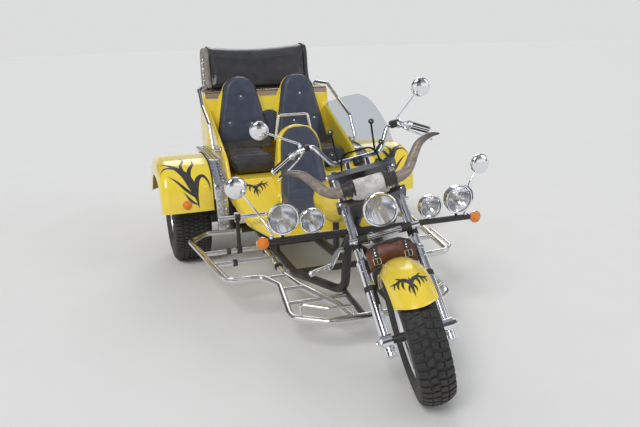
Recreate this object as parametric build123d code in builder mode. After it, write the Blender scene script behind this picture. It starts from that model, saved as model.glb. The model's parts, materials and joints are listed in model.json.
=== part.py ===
"""Three-seat motor trike: steered front fork, tubular frame, moulded body and two wide rear wheels.

Millimetres. Forward is -Y, the vehicle's left is +X, up is +Z. The origin is on the ground,
under the middle of the vehicle's length and width. The fork stands turned to the vehicle's
right at rest: its pieces are drawn straight ahead and turned about the steering axis at the end.
"""
from build123d import *
from math import cos, sin, sqrt, tan, radians
import os

os.makedirs("parts", exist_ok=True)

# Whole vehicle
rear_axle_y = 960.0          # place of the rear axle behind the middle
track = 1470.0               # between the middles of the rear tyres
gap = 0.3                    # between pieces of different bodies that lie against each other

# Steering
rake = 46.0                  # steering axis from the vertical, degrees
rest_turn = -18.0            # the fork's angle at rest, degrees, to the vehicle's right
axis_y, axis_z = -700.0, 900.0   # a point of the steering axis
leg_offset = 100.0           # fork legs ahead of the steering axis
hub_offset = 125.0           # front hub ahead of the steering axis
leg_spread = 141.0           # half the distance between the fork legs
upper_tube_r, lower_tube_r = 22.0, 27.0
leg_top, leg_joint, leg_low = -30.0, -560.0, -1025.0   # along the steering axis
neck_top, neck_low = -75.0, -205.0
neck_r, stem_r = 34.0, 17.0
yoke_thick = 30.0
yoke_front = leg_offset + 35             # the yokes' front edge ahead of the steering axis
lower_yoke_along = neck_low - 5 - yoke_thick / 2

# Front wheel
front_r, front_half = 325.0, 75.0        # tyre's outer radius and half its width
front_shoulder = 24.0                    # the tread's edge below its crown
front_crown_r = (front_half ** 2 + front_shoulder ** 2) / (2 * front_shoulder)
front_rim_r = 205.0
front_hub_r, front_hub_half = 45.0, 52.0
front_axle_r = 10.0
spoke_count, spoke_r = 20, 2.6

# Rear wheels
rear_r, rear_half, rear_rim_r = 335.0, 132.0, 195.0
rear_hub_r, spindle_r = 62.0, 30.0
wheel_x = track / 2
fender_inner_x = wheel_x - rear_half - 58        # the fenders' inner walls
fender_outer_x = wheel_x + rear_half + 83        # half the overall width
strip_width = 40.0                               # tread plate between body and fender
body_half = fender_inner_x - strip_width         # the body's widest place
running_gap = 0.1                        # radial, at axles and bearings

SIDES = (("right", -1), ("left", 1))

# Directions of the steering axis and of the offset ahead of it, straight ahead
axis_dir = Vector(0, sin(radians(rake)), cos(radians(rake)))
ahead_dir = Vector(0, -cos(radians(rake)), sin(radians(rake)))
axis_point = Vector(0, axis_y, axis_z)
steer_axis = Axis(axis_point, axis_dir)

# The hub's place makes the tyre's crown touch the ground with the fork turned
lean = sin(radians(rest_turn)) * sin(radians(rake))
hub_height = (front_r - front_crown_r) * sqrt(1 - lean ** 2) + front_crown_r
ahead_rise = hub_offset * sin(radians(rake)) * cos(radians(rest_turn))
hub_along = (hub_height - axis_z - ahead_rise) / cos(radians(rake))


def on_fork(along, ahead, side=0.0):
    """A point from its distance along the steering axis, ahead of it and to the left."""
    return axis_point + axis_dir * along + ahead_dir * ahead + Vector(side, 0, 0)


hub = on_fork(hub_along, hub_offset)
hub_turned_y = axis_y + hub_along * axis_dir.Y + hub_offset * ahead_dir.Y * cos(radians(rest_turn))
swing = sin(radians(rest_turn)) * cos(radians(rake))
front_reach = (front_r - front_crown_r) * sqrt(1 - swing ** 2) + front_crown_r - hub_turned_y


def rod(points, diameter, bend=0.0):
    """Add a round bar along straight runs joined by arcs."""
    with BuildLine() as path:
        if len(points) > 2:
            FilletPolyline(*points, radius=bend)
        else:
            Line(*points)
    line = path.line
    with BuildSketch(Plane(origin=line @ 0, z_dir=line % 0)) as section:
        Circle(diameter / 2)
    sweep(section.sketch, path=line)


def sleeve(start, end, outer_r, inner_r):
    """Add a straight tube."""
    along = Vector(*end) - Vector(*start)
    with BuildSketch(Plane(origin=start, z_dir=along)) as section:
        Circle(outer_r)
        Circle(inner_r, mode=Mode.SUBTRACT)
    extrude(section.sketch, amount=along.length)


def ring_solid(points, arc_mids, centre, turn=360.0):
    """Add a solid of revolution about the X axis through centre; arc_mids maps a run to its mid point."""
    with BuildSketch(Plane(origin=centre, x_dir=(1, 0, 0), z_dir=(0, -1, 0))) as section:
        with BuildLine():
            for i, start in enumerate(points):
                end = points[(i + 1) % len(points)]
                if i in arc_mids:
                    ThreePointArc(start, arc_mids[i], end)
                else:
                    Line(start, end)
        make_face()
    revolve(section.sketch, axis=Axis(centre, (1, 0, 0)), revolution_arc=turn)


def save(part, name):
    part.label = name
    export_step(part, f"parts/{name}.step")


def save_turned(part, name):
    """Write a piece of the fork, turned to its place at rest."""
    save(part.rotate(steer_axis, rest_turn), name)


def mirrored(points):
    return [(-x, y, z) for x, y, z in points]


# Seat backs: two round-topped shells with their pads
pad_top_z, pad_low_z = 1303.0, 800.0
pad_in_top, pad_in_low = 116.0, 32.0
pad_out_top, pad_out_low = 348.0, 435.0
pad_lean = 11.0
pad_thick, back_shell_thick = 55.0, 45.0


pad_front_y = 1090.0
pad_plane = Plane(origin=(0, pad_front_y, pad_low_z), x_dir=(1, 0, 0), z_dir=(0, -1, 0)).rotated((-pad_lean, 0, 0))


def seat_back(side, grow, depth, thick):
    """Add one seat back, depth behind the pads' face; grow is its rim beyond the pad."""
    height = (pad_top_z - pad_low_z) / cos(radians(pad_lean))
    inner_low, inner_top = side * (pad_in_low - grow), side * (pad_in_top - grow)
    outer_low, outer_top = side * (pad_out_low + grow), side * (pad_out_top + grow)
    shoulder = height - 110
    with BuildSketch(pad_plane.offset(-depth)) as outline:
        with BuildLine():
            Line((inner_low, 0), (outer_low, 0))
            Line((outer_low, 0), (outer_top, shoulder))
            ThreePointArc((outer_top, shoulder), ((inner_top + outer_top) / 2, height + grow), (inner_top, shoulder))
            Line((inner_top, shoulder), (inner_low, 0))
        make_face()
    extrude(outline.sketch, amount=-thick)


for label, side in SIDES:
    with BuildPart() as pad:
        seat_back(side, 0, 0, pad_thick)
    save(pad.part, f"seat_back_pad_{label}")

def back_y(z, depth):
    """How far back the leaning seat back is at height z, depth behind the pads' face."""
    return pad_front_y + depth / cos(radians(pad_lean)) + (z - pad_low_z) * tan(radians(pad_lean))


# Body shell: a side outline cut to a plan outline, with an open engine bay
chin = (-130.0, 400.0)               # lowest front edge, y and z
belly_z = 520.0                      # underside behind the rider
deck_z = 655.0                       # under the passengers' cushions
shelf_z = 1195.0                     # top of the rear shelf
body_rear_y = 1700.0
body_back = pad_thick + back_shell_thick - 2     # the body's back wall behind the pads' face
BODY_SIDE = [                        # y, z
    chin, (-150, 425), (190, 465), (420, 590), (530, 650), (600, deck_z), (back_y(deck_z, body_back), deck_z),
    (back_y(shelf_z, body_back), shelf_z), (1660, shelf_z), (body_rear_y, 1120), (1740, 600),
    (1700, belly_z), (620, belly_z), (200, chin[1]),
]
PLAN_INSET = (                       # in from the body's widest place, y
    (205, -150), (130, -70), (85, 115), (50, 300), (25, 520), (0, 1000), (0, 1500), (35, 1700), (65, 1760),
)
BODY_PLAN = [(-body_half + inset, y) for inset, y in PLAN_INSET]
bay_y0, bay_y1, bay_half, bay_top = 980.0, 1660.0, 400.0, 1000.0
arm_top = [(1330, 1110), (620, 800), (520, 660), (420, 560), (1330, 560)]    # y, z
arm_in, arm_out = body_half - 43, body_half - 13
rider_rear_y = 510.0
rider_top_z = 1018.0
rider_well = [(340, 560), (300, 500), (-90, 495)]
RIDER_BACK = [(462, rider_top_z), *rider_well[:2], (300, 430), (rider_rear_y, 560), (rider_rear_y, rider_top_z)]
RIDER_BASE = [(340, 520), *rider_well[1:], (-110, 430), (340, 430)]
RIDER_EDGE = [(192, 420), (188, 520), (142, 930)]     # the back's edge seen from the front: x, z
RIDER_PLAN = [(170, 345), (198, 300), (292, -60), (292, -120)]    # the base's edge seen from above: x, y
rider_rim = 14.0                     # the shell's edge beyond its pad

def outlined(side_outline, edge, plane, reach, top=None):
    """A side outline carried across and cut to a mirrored edge on the given plane, with an arc over it at top."""
    with BuildPart() as block:
        with BuildSketch(Plane.YZ.offset(-320)):
            with BuildLine():
                Polyline(*side_outline, close=True)
            make_face()
        extrude(amount=640)
        with BuildSketch(plane) as cut:
            far_side = [(-x, along) for x, along in reversed(edge)]
            with BuildLine():
                Polyline(*edge)
                if top:
                    ThreePointArc(edge[-1], (0, top), far_side[0])
                else:
                    Line(edge[-1], far_side[0])
                Polyline(*far_side)
                Line(far_side[-1], edge[0])
            make_face()
        extrude(cut.sketch, amount=reach, mode=Mode.INTERSECT)
    return block.part


def rider_shell(back, base, inset):
    """The rider's back and base, their edges drawn in by inset."""
    back_edge = [(x - inset, z) for x, z in RIDER_EDGE]
    base_edge = [(x - inset, y) for x, y in RIDER_PLAN]
    upper = outlined(back, back_edge, Plane.XZ.offset(-600), 500, rider_top_z - inset)
    lower = outlined(base, base_edge, Plane.XY.offset(400), 250)
    return upper + lower


with BuildPart() as body:
    with BuildSketch(Plane.YZ.offset(-body_half - 15)):
        with BuildLine():
            Polyline(*BODY_SIDE, close=True)
        make_face()
    extrude(amount=2 * body_half + 30)
    with BuildSketch(Plane.XY.offset(300)):
        with BuildLine():
            Polyline(*BODY_PLAN, *[(-x, y) for x, y in reversed(BODY_PLAN)], close=True)
        make_face()
    extrude(amount=1000, mode=Mode.INTERSECT)
    with BuildSketch(Plane.YZ.offset(-bay_half)):
        with BuildLine():
            Polyline((bay_y0, 400), (bay_y0, 600), (1100, 620), (1240, bay_top), (bay_y1, bay_top), (bay_y1, 400), close=True)
        make_face()
    extrude(amount=2 * bay_half, mode=Mode.SUBTRACT)
    for side in (-1, 1):
        with BuildSketch(Plane.YZ.offset(side * arm_in)):
            with BuildLine():
                Polyline(*arm_top, close=True)
            make_face()
        extrude(amount=side * (arm_out - arm_in))
    with BuildSketch(Plane.YZ.offset(-RIDER_PLAN[1][0])):
        with BuildLine():
            Polyline((460, 1200), (460, 1015), *rider_well, (-200, 495), (-200, 1200), close=True)
        make_face()
    extrude(amount=2 * RIDER_PLAN[1][0], mode=Mode.SUBTRACT)
    add(rider_shell(RIDER_BACK, RIDER_BASE, 0))
    for side in (-1, 1):
        seat_back(side, 22, pad_thick, back_shell_thick)
save(body.part, "body_shell")

# Cushions
cushion_front, cushion_rear, cushion_top = 690.0, 1085.0, 815.0
cushion_in, cushion_out = 115.0, body_half - 45
cushion_foot = cushion_out - 72          # its outer end at the deck
for label, side in SIDES:
    with BuildPart() as cushion:
        with BuildSketch(Plane.YZ.offset(side * cushion_in)):
            with BuildLine():
                Line((cushion_rear - 60, deck_z), (cushion_front + 60, deck_z))
                ThreePointArc((cushion_front + 60, deck_z), (cushion_front, (deck_z + cushion_top) / 2), (cushion_front + 60, cushion_top))
                Line((cushion_front + 60, cushion_top), (cushion_rear - 10, cushion_top - 15))
                Line((cushion_rear - 10, cushion_top - 15), (cushion_rear - 60, deck_z))
            make_face()
        extrude(amount=side * (cushion_out - cushion_in))
        fillet(cushion.edges().filter_by(Axis.Z, reverse=True).filter_by(Axis.X, reverse=True).group_by(Axis.Z)[-1], 10)
        with BuildSketch(Plane.XZ.offset(-cushion_rear - 20)) as corner:
            with BuildLine():
                Polyline((side * cushion_foot, deck_z - 5), (side * cushion_out, cushion_top - 10),
                         (side * (cushion_out + 50), cushion_top - 10), (side * (cushion_out + 50), deck_z - 5), close=True)
            make_face()
        extrude(corner.sketch, amount=cushion_rear - cushion_front + 60, mode=Mode.SUBTRACT)
    save(cushion.part, f"seat_cushion_{label}")

with BuildPart() as centre_pad:
    with BuildSketch(pad_plane.offset(-body_back)):
        with BuildLine():
            Polyline((-12, 30), (12, 30), (60, 260), (-60, 260), close=True)
        make_face()
    extrude(amount=30)
save(centre_pad.part, "centre_pad")

# Rider's seat: one pad from the top of the back to the front edge
PAD_BACK = [(405, 1011), (455, 1011), (335, 560), (298, 500.3), (250, 500), (235, 575)]
PAD_BASE = [(298, 500.3), (-88, 495.3), (-112, 500), (-100, 545), (235, 575), (298, 575)]
save(rider_shell(PAD_BACK, PAD_BASE, rider_rim), "rider_seat")

with BuildPart() as grab_bar:
    rod([(-130, rider_rear_y, 930), (-130, 545, 930), (-105, 552, 1075), (105, 552, 1075), (130, 545, 930),
         (130, rider_rear_y, 930)], 19, 16)
save(grab_bar.part, "rider_grab_bar")

# Fuel tank ahead of the rider
TANK = (                     # y, half width, low z, high z
    (-172, 85, 572, 745),
    (-290, 132, 528, 788),
    (-480, 124, 572, 834),
    (-640, 52, 705, 858),
)
cap_y, cap_z, cap_r, cap_height = -262.0, 774.0, 38.0, 26.0
tank_seat_y, tank_seat_z = -300.0, 536.0
with BuildPart() as tank:
    for y, half, low, high in TANK:
        with BuildSketch(Plane(origin=(0, y, (low + high) / 2), x_dir=(1, 0, 0), z_dir=(0, -1, 0))):
            RectangleRounded(2 * half, high - low, min(half, (high - low) / 2) * 0.7)
    loft()
    with BuildSketch(Plane(origin=(0, cap_y, cap_z))):
        Circle(cap_r + 2)
    extrude(amount=80, mode=Mode.SUBTRACT)
    with BuildSketch(Plane(origin=(0, tank_seat_y, tank_seat_z))):
        Rectangle(280, 200)
    extrude(amount=-60, mode=Mode.SUBTRACT)
save(tank.part, "fuel_tank")
with BuildPart() as cap:
    with BuildSketch(Plane(origin=(0, cap_y, cap_z))):
        Circle(cap_r)
    extrude(amount=cap_height)
save(cap.part, "tank_cap")

# Rear fenders
FENDER_SIDE = [               # outer outline seen from the side: y, z
    (530, 455), (560, 640), (690, 765), (860, 805), (1060, 805), (1260, 740), (1370, 600), (1400, 455),
]
FENDER_IN = [(1360, 455), (1335, 590), (1240, 700), (1055, 765), (870, 765), (715, 728), (600, 615), (570, 455)]
for label, side in SIDES:
    with BuildPart() as fender:
        with BuildSketch(Plane.YZ.offset(side * fender_inner_x)):
            with BuildLine():
                Polyline(*FENDER_SIDE, *FENDER_IN, close=True)
            make_face()
        extrude(amount=side * (fender_outer_x - fender_inner_x))
        with BuildSketch(Plane.YZ.offset(side * fender_inner_x)):
            with BuildLine():
                Polyline(*FENDER_SIDE, close=True)
            make_face()
        extrude(amount=side * 12)
    save(fender.part, f"rear_fender_{label}")

with BuildPart() as markers:
    for side in (-1, 1):
        with BuildSketch(Plane(origin=(side * (wheel_x + 65), 538.9, 510), x_dir=(1, 0, 0), z_dir=(0, -185, 30))):
            Circle(32)
        extrude(amount=26)
save(markers.part, "fender_markers")

# Strips of tread plate between body and fenders, down to the side rails
tube_d = 38.0                        # side bars
side_rail_z = 305.0
strip_foot_z = side_rail_z + tube_d / 2 + 0.4
for label, side in SIDES:
    with BuildPart() as strip:
        with BuildSketch(Plane.YZ.offset(side * (body_half + 0.5))):
            with BuildLine():
                Polyline((462, strip_foot_z), (484, 640), (700, 780), (1300, 780), (1300, 760), (710, 760), (502, 630),
                         (480, strip_foot_z), close=True)
            make_face()
        extrude(amount=side * (strip_width - 1))
    save(strip.part, f"tread_strip_{label}")

# Luggage roll on the shelf
roll_half, roll_front, roll_rear, roll_top = 405.0, 1560.0, 1790.0, 1528.0
with BuildPart() as luggage:
    with BuildSketch(Plane.YZ.offset(-roll_half)):
        with Locations(((roll_front + roll_rear) / 2, (shelf_z + roll_top) / 2)):
            RectangleRounded(roll_rear - roll_front, roll_top - shelf_z, 60)
    extrude(amount=2 * roll_half)
save(luggage.part, "luggage_roll")
with BuildPart() as caps:
    for side in (-1, 1):
        with BuildSketch(Plane.YZ.offset(side * (roll_half + 0.2))):
            with Locations(((roll_front + roll_rear) / 2, (shelf_z + roll_top) / 2)):
                RectangleRounded(roll_rear - roll_front + 12, roll_top - shelf_z - 6, 62)
        extrude(amount=side * 32)
save(caps.part, "roll_end_caps")

# Grab rails, from the shelf down to the arms; beside the body they stay outside it
rail_x, rail_foot_y, grab_d = body_half + 36, 1480.0, 25.0
GRAB_RAIL = [
    (body_half - 35, rail_foot_y, shelf_z + 0.2), (body_half - 35, rail_foot_y, shelf_z + 30),
    (body_half + 22, rail_foot_y - 150, shelf_z + 20), (rail_x, 1120, 1108), (rail_x, 850, 1005), (rail_x, 738, 838),
    (arm_out + 0.2, 738, 838),
]
for label, side in SIDES:
    with BuildPart() as rail:
        rod([(side * x, y, z) for x, y, z in GRAB_RAIL], grab_d, 20)
    save(rail.part, f"grab_rail_{label}")

# Frame
rail_z, rail_half, rail_d = 235.0, 270.0, 50.0
down_half, down_low_y = 95.0, -690.0     # the front tubes' lower bend
bar_stay_d, foot_x, foot_d = 32.0, 450.0, 36.0
BACKBONE = [(0, -770, 810), (0, -620, 600), (0, -380, 320), (0, 200, 300), (0, 864.5, 300)]
backbone_d, backbone_z = 56.0, 300.0
CROSS_TUBES = (-300.0, 300.0, 760.0, 1300.0)     # y
BODY_FEET = (700.0, 1600.0)              # y
cross_d = 40.0
bar_front_y, bar_front_z = -985.0, 208.0
lamp_bar_y, lamp_bar_z = -875.0, 640.0
with BuildPart() as chassis:
    with BuildSketch(Plane(origin=on_fork(neck_low, 0), z_dir=axis_dir)):
        Circle(neck_r)
    extrude(amount=neck_top - neck_low)
    rod(BACKBONE, backbone_d, 120)
    rod([(0, tank_seat_y, backbone_z + 10), (0, tank_seat_y, tank_seat_z - 0.2)], cross_d)
    for side in (-1, 1):
        rod([(side * 30, -772, 762), (side * down_half, -745, 500), (side * down_half, down_low_y, rail_z),
             (side * rail_half, CROSS_TUBES[0], rail_z), (side * rail_half, CROSS_TUBES[-1], rail_z)], rail_d, 90)
    for y in CROSS_TUBES:
        rod([(-rail_half, y, rail_z), (rail_half, y, rail_z)], cross_d)
    for y in CROSS_TUBES[1:3]:
        rod([(0, y, backbone_z), (0, y, rail_z)], cross_d)
    for side in (-1, 1):
        rod([(side * rail_half, 100, rail_z), (side * rail_half, 100, chin[1] - 0.2)], foot_d)
        for y in BODY_FEET:
            rod([(side * rail_half, y, rail_z), (side * foot_x, y, rail_z), (side * foot_x, y, belly_z - 0.2)], foot_d, 40)
        rod([(side * rail_half, CROSS_TUBES[-1] - 10, rail_z), (side * rail_half, BODY_FEET[-1], rail_z)], foot_d)
        rod([(side * down_half, down_low_y, rail_z), (side * down_half, bar_front_y + tube_d / 2 + 2.2, bar_front_z)],
            bar_stay_d)
    with BuildSketch(Plane(origin=on_fork(neck_low - 30, 0), z_dir=axis_dir)) as bore:
        Circle(stem_r + running_gap)
    extrude(bore.sketch, amount=neck_top - neck_low + 60, mode=Mode.SUBTRACT)
save(chassis.part, "chassis")

# Rear axle with its trailing arms
casing_half, casing_r = 150.0, 95.0
knuckle_x, knuckle_r, knuckle_length = wheel_x - 235, 85.0, 60.0
arm_y, arm_d = 800.0, 46.0
with BuildPart() as rear_axle:
    spindle_end = wheel_x + 20
    with BuildSketch(Plane.YZ.offset(-spindle_end)) as spindle:
        with Locations((rear_axle_y, rear_r)):
            Circle(spindle_r)
    extrude(spindle.sketch, amount=2 * spindle_end)
    with BuildSketch(Plane.YZ.offset(-casing_half)) as casing:
        with Locations((rear_axle_y, rear_r)):
            Circle(casing_r)
    extrude(casing.sketch, amount=2 * casing_half)
    for side in (-1, 1):
        with BuildSketch(Plane.YZ.offset(side * knuckle_x)) as knuckle:
            with Locations((rear_axle_y, rear_r)):
                Circle(knuckle_r)
        extrude(knuckle.sketch, amount=side * knuckle_length)
        rod([(side * (rail_half + rail_d / 2 + 0.2), arm_y, rail_z), (side * 400, arm_y, rail_z),
             (side * knuckle_x, 900, 300), (side * (knuckle_x + 25), rear_axle_y, rear_r)], arm_d, 30)
save(rear_axle.part, "rear_axle")

# Engine block, exhausts, bumper and plate
engine_y, engine_length, engine_width, engine_height = 1340.0, 440.0, 620.0, 360.0
with BuildPart() as engine:
    with BuildSketch(Plane.XY.offset(rail_z + rail_d / 2 + 0.2)):
        with Locations((0, engine_y)):
            Rectangle(engine_width, engine_length)
    extrude(amount=engine_height)
save(engine.part, "engine")

pipe_x, pipe_z, tip_r, tip_length = 250.0, 300.0, 33.0, 70.0
with BuildPart() as exhausts:
    for side in (-1, 1):
        rod([(side * pipe_x, engine_y + engine_length / 2 + 0.2, 340), (side * pipe_x, 1630, 340),
             (side * pipe_x, 1680, pipe_z), (side * pipe_x, front_reach - tip_length, pipe_z)], 56, 30)
        with BuildSketch(Plane.XZ.offset(-front_reach)):
            with Locations((side * pipe_x, pipe_z)):
                Circle(tip_r)
        extrude(amount=tip_length)
        with BuildSketch(Plane.XZ.offset(-front_reach)):
            with Locations((side * pipe_x, pipe_z)):
                Circle(tip_r - 4)
        extrude(amount=tip_length - 10, mode=Mode.SUBTRACT)
save(exhausts.part, "exhausts")

bumper_half, bumper_z, bumper_d = 380.0, 420.0, 45.0
with BuildPart() as bumper:
    bumper_y = front_reach - bumper_d / 2 - 5
    foot_y = BODY_FEET[-1]
    rod([(-bumper_half, foot_y, bumper_z), (-bumper_half, bumper_y, bumper_z), (bumper_half, bumper_y, bumper_z),
         (bumper_half, foot_y, bumper_z)], bumper_d, 60)
    for side in (-1, 1):
        rod([(side * bumper_half, foot_y, bumper_z), (side * (foot_x - foot_d / 2), foot_y, bumper_z)], foot_d)
save(bumper.part, "rear_bumper")

with BuildPart() as tail_lamps:
    for side in (-1, 1):
        with BuildSketch(Plane(origin=(side * (wheel_x - 35), 1378.6, 560), x_dir=(1, 0, 0), z_dir=(0, 145, 30))):
            Circle(45)
        extrude(amount=40)
save(tail_lamps.part, "tail_lamps")

with BuildPart() as plate:
    with BuildSketch(Plane(origin=(0, body_rear_y + 32.6, 700), x_dir=(1, 0, 0), z_dir=(0, 520, 40))):
        RectangleRounded(280, 200, 12)
    extrude(amount=6)
save(plate.part, "number_plate")

# Side bars, stainless tube
OUTER_RAIL = [                # right side
    (-430, 460, side_rail_z), (-680, 490, side_rail_z), (-800, 340, side_rail_z), (-702, -430, 290), (-500, -430, 282),
    (-434, -561, 271), (-458, -859, bar_front_z), (-290, bar_front_y, bar_front_z), (0, bar_front_y, bar_front_z),
]
INNER_RAIL = [(-362, 60, 285), (-362, -400, 270), (-320, -590, 262), (-190, -840, 228), (-160, -975, 208)]
RUNGS = (                     # y, z, x outer, x inner
    (60, 300, 765, 362),
    (-145, 292, 737, 362),
    (-440, 276, 520, 362),
    (-610, 262, 440, 315),
    (-750, 234, 452, 113),
)
inner_x, rung_d, hanger_d = 362.0, 30.0, 24.0
HANGERS = (30.0, -250.0)      # y
FOOT_LOOP = [                 # a thin hoop standing on the front tube
    (-410, -894, bar_front_z), (-414, -888, 285), (-285, -968, 274), (-160, -978, 276), (-152, bar_front_y, bar_front_z),
]
for label, side in SIDES:
    with BuildPart() as side_bar:
        outer = OUTER_RAIL if side < 0 else mirrored(OUTER_RAIL)
        inner = INNER_RAIL if side < 0 else mirrored(INNER_RAIL)
        outer_end = (side * 0.2, outer[-1][1], outer[-1][2])
        rod(outer[:-1] + [outer_end], tube_d, 55)
        rod(inner, tube_d, 80)
        for y, z, x_out, x_in in RUNGS:
            rod([(side * x_out, y, z), (side * x_in, y, z)], rung_d)
        rod(FOOT_LOOP if side < 0 else mirrored(FOOT_LOOP), 16, 18)
        for y in HANGERS:
            rod([(side * inner_x, y, rail_z + 40), (side * inner_x, y, rail_z),
                 (side * (rail_half + rail_d / 2 + 0.2), y, rail_z)], hanger_d, 14)
    save(side_bar.part, f"side_bar_{label}")

# Pegs
PEG = [(120.3, -750, 500), (150, -750, 500), (207, -790, 430), (332, -795, 404)]
peg_d, rest_d = 24.0, 26.0
rest_y, rest_z, rest_in, rest_out, rest_post_x = RUNGS[0][0], 520.0, 336.0, 655.0, 530.0
with BuildPart() as pegs:
    for side in (-1, 1):
        rod([(side * x, y, z) for x, y, z in PEG], peg_d, 15)
save(pegs.part, "rider_pegs")
with BuildPart() as rests:
    for side in (-1, 1):
        rod([(side * rest_in, rest_y, rest_z), (side * rest_out, rest_y, rest_z)], rest_d)
        rod([(side * rest_post_x, rest_y, RUNGS[0][1] + rung_d / 2 + 0.2), (side * rest_post_x, rest_y, rest_z)], rest_d)
save(rests.part, "passenger_rests")

# Lamp bar with its lamps
big_x, big_y, big_z, big_r = 487.0, -903.0, 753.0, 80.0
small_x, small_y, small_z, small_r = 330.0, -884.0, 722.0, 66.0
lamp_bar_half, lamp_bar_d, lamp_stay_x, lamp_stay_end = 565.0, 32.0, 60.0, -785.9
with BuildPart() as lamp_bar:
    rod([(-lamp_bar_half, lamp_bar_y, lamp_bar_z), (lamp_bar_half, lamp_bar_y, lamp_bar_z)], lamp_bar_d)
    for side in (-1, 1):
        rod([(side * lamp_stay_x, lamp_bar_y, lamp_bar_z), (side * lamp_stay_x, lamp_stay_end, lamp_bar_z)], 22)
    for side in (-1, 1):
        for x, z, r in ((big_x, big_z, big_r), (small_x, small_z, small_r)):
            rod([(side * x, lamp_bar_y, lamp_bar_z), (side * x, lamp_bar_y, z - r - 0.3)], 16)
save(lamp_bar.part, "lamp_bar")


def bowl(centre, radius, depth):
    """Add a lamp: a rim with a domed back, facing forward at centre."""
    x, y, z = centre
    with BuildSketch(Plane.YZ.offset(x)) as section:
        with BuildLine():
            Line((y, z), (y, z + radius))
            Line((y, z + radius), (y + 25, z + radius))
            ThreePointArc((y + 25, z + radius), (y + 0.8 * depth, z + 0.62 * radius), (y + depth, z + 0.2 * radius))
            Line((y + depth, z + 0.2 * radius), (y + depth, z))
            Line((y + depth, z), (y, z))
        make_face()
    revolve(section.sketch, axis=Axis((x, y, z), (0, 1, 0)))


with BuildPart() as big_lamps:
    for side in (-1, 1):
        bowl((side * big_x, big_y, big_z), big_r, 105)
save(big_lamps.part, "spot_lamps_large")
with BuildPart() as small_lamps:
    for side in (-1, 1):
        bowl((side * small_x, small_y, small_z), small_r, 90)
save(small_lamps.part, "spot_lamps_small")
with BuildPart() as signals:
    for side in (-1, 1):
        bowl((side * 595.2, -894, 640), 30, 40)
save(signals.part, "turn_signals")
with BuildPart() as side_mirrors:
    for side in (-1, 1):
        rod([(side * 545, lamp_bar_y, lamp_bar_z + 16.2), (side * 545, lamp_bar_y, 680), (side * 610, -790, 800), (side * 680, -765, 890)], 12, 12)
        with BuildSketch(Plane(origin=(side * 688, -765, 903), x_dir=(1, 0, 0), z_dir=(0, -1, 0))) as disc:
            Circle(56)
        extrude(disc.sketch, amount=28)
save(side_mirrors.part, "side_mirrors")

# Fork
with BuildPart() as fork:
    for side in (-1, 1):
        top, joint, low = (on_fork(a, leg_offset, side * leg_spread) for a in (leg_top, leg_joint, leg_low))
        with BuildSketch(Plane(origin=joint, z_dir=axis_dir)) as upper:
            Circle(upper_tube_r)
        extrude(upper.sketch, amount=leg_top - leg_joint)
        with BuildSketch(Plane(origin=low, z_dir=axis_dir)) as lower:
            Circle(lower_tube_r)
        extrude(lower.sketch, amount=leg_joint - leg_low)
        with BuildSketch(Plane.YZ.offset(side * (leg_spread - 25))) as lug:
            with Locations((hub.Y, hub.Z)):
                Circle(30)
        extrude(lug.sketch, amount=side * 50)
    with BuildSketch(Plane.YZ.offset(-leg_spread - 34)) as axle:
        with Locations((hub.Y, hub.Z)):
            Circle(front_axle_r)
    extrude(axle.sketch, amount=2 * (leg_spread + 34))
save_turned(fork.part, "fork_legs")

with BuildPart() as yokes:
    for along in (neck_top + 5, neck_low - 5 - yoke_thick):
        with BuildSketch(Plane(origin=on_fork(along, 0), x_dir=(1, 0, 0), z_dir=axis_dir)) as plan:
            with BuildLine():
                Polyline((-52, 38), (52, 38), (leg_spread + 38, -leg_offset + 40), (leg_spread + 38, -yoke_front),
                         (-leg_spread - 38, -yoke_front), (-leg_spread - 38, -leg_offset + 40), close=True)
            make_face()
            with Locations((-leg_spread, -leg_offset), (leg_spread, -leg_offset)):
                Circle(upper_tube_r, mode=Mode.SUBTRACT)
        extrude(plan.sketch, amount=yoke_thick)
    with BuildSketch(Plane(origin=on_fork(neck_low - 6, 0), z_dir=axis_dir)) as stem:
        Circle(stem_r)
    extrude(stem.sketch, amount=neck_top - neck_low + 12)
save_turned(yokes.part, "fork_yokes")

with BuildPart() as brace:
    a = on_fork(-452, leg_offset + 60, -175)
    b = on_fork(-452, leg_offset + 60, 175)
    rod([a, b], 26)
    for side in (-1, 1):
        c = on_fork(-452, leg_offset + upper_tube_r, side * leg_spread)
        d = on_fork(-452, leg_offset + 60, side * leg_spread)
        rod([c, d], 30)
save_turned(brace.part, "fork_brace")

BAR = [(-435, -541, 997), (-300, -650, 1088), (-205, -655, 1098), (-130, -705, 985), (0, -722, 975)]
with BuildPart() as bar:
    rod(BAR[:-1] + mirrored(BAR[:-1])[::-1], 25, 38)
    for side in (-1, 1):
        foot = neck_top + 5 + yoke_thick
        rod([on_fork(foot + 0.2, 10, side * 55), on_fork(foot + 35, 10, side * 55), Vector(side * 55, -705, 985)], 30, 12)
save_turned(bar.part, "handlebar")

with BuildPart() as grips:
    for side in (-1, 1):
        with BuildLine() as line:
            Line((side * 325, -629.8, 1071.2), (side * 445, -533, 990.3))
        with BuildSketch(Plane(origin=line.line @ 0, z_dir=line.line % 0)) as round_grip:
            Circle(18)
            Circle(12.6, mode=Mode.SUBTRACT)
        sweep(round_grip.sketch, path=line.line)
save_turned(grips.part, "grips")

with BuildPart() as bar_mirrors:
    for side in (-1, 1):
        rod([(side * 272, -652, 1111.2), (side * 272, -645, 1130), (side * 330, -590, 1155), (side * 440, -470, 1205)], 10, 8)
        with BuildSketch(Plane(origin=(side * 462, -475, 1224), x_dir=(1, 0, 0), z_dir=(0, -1, 0))) as disc:
            Circle(53)
        extrude(disc.sketch, amount=26)
save_turned(bar_mirrors.part, "bar_mirrors")

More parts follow.
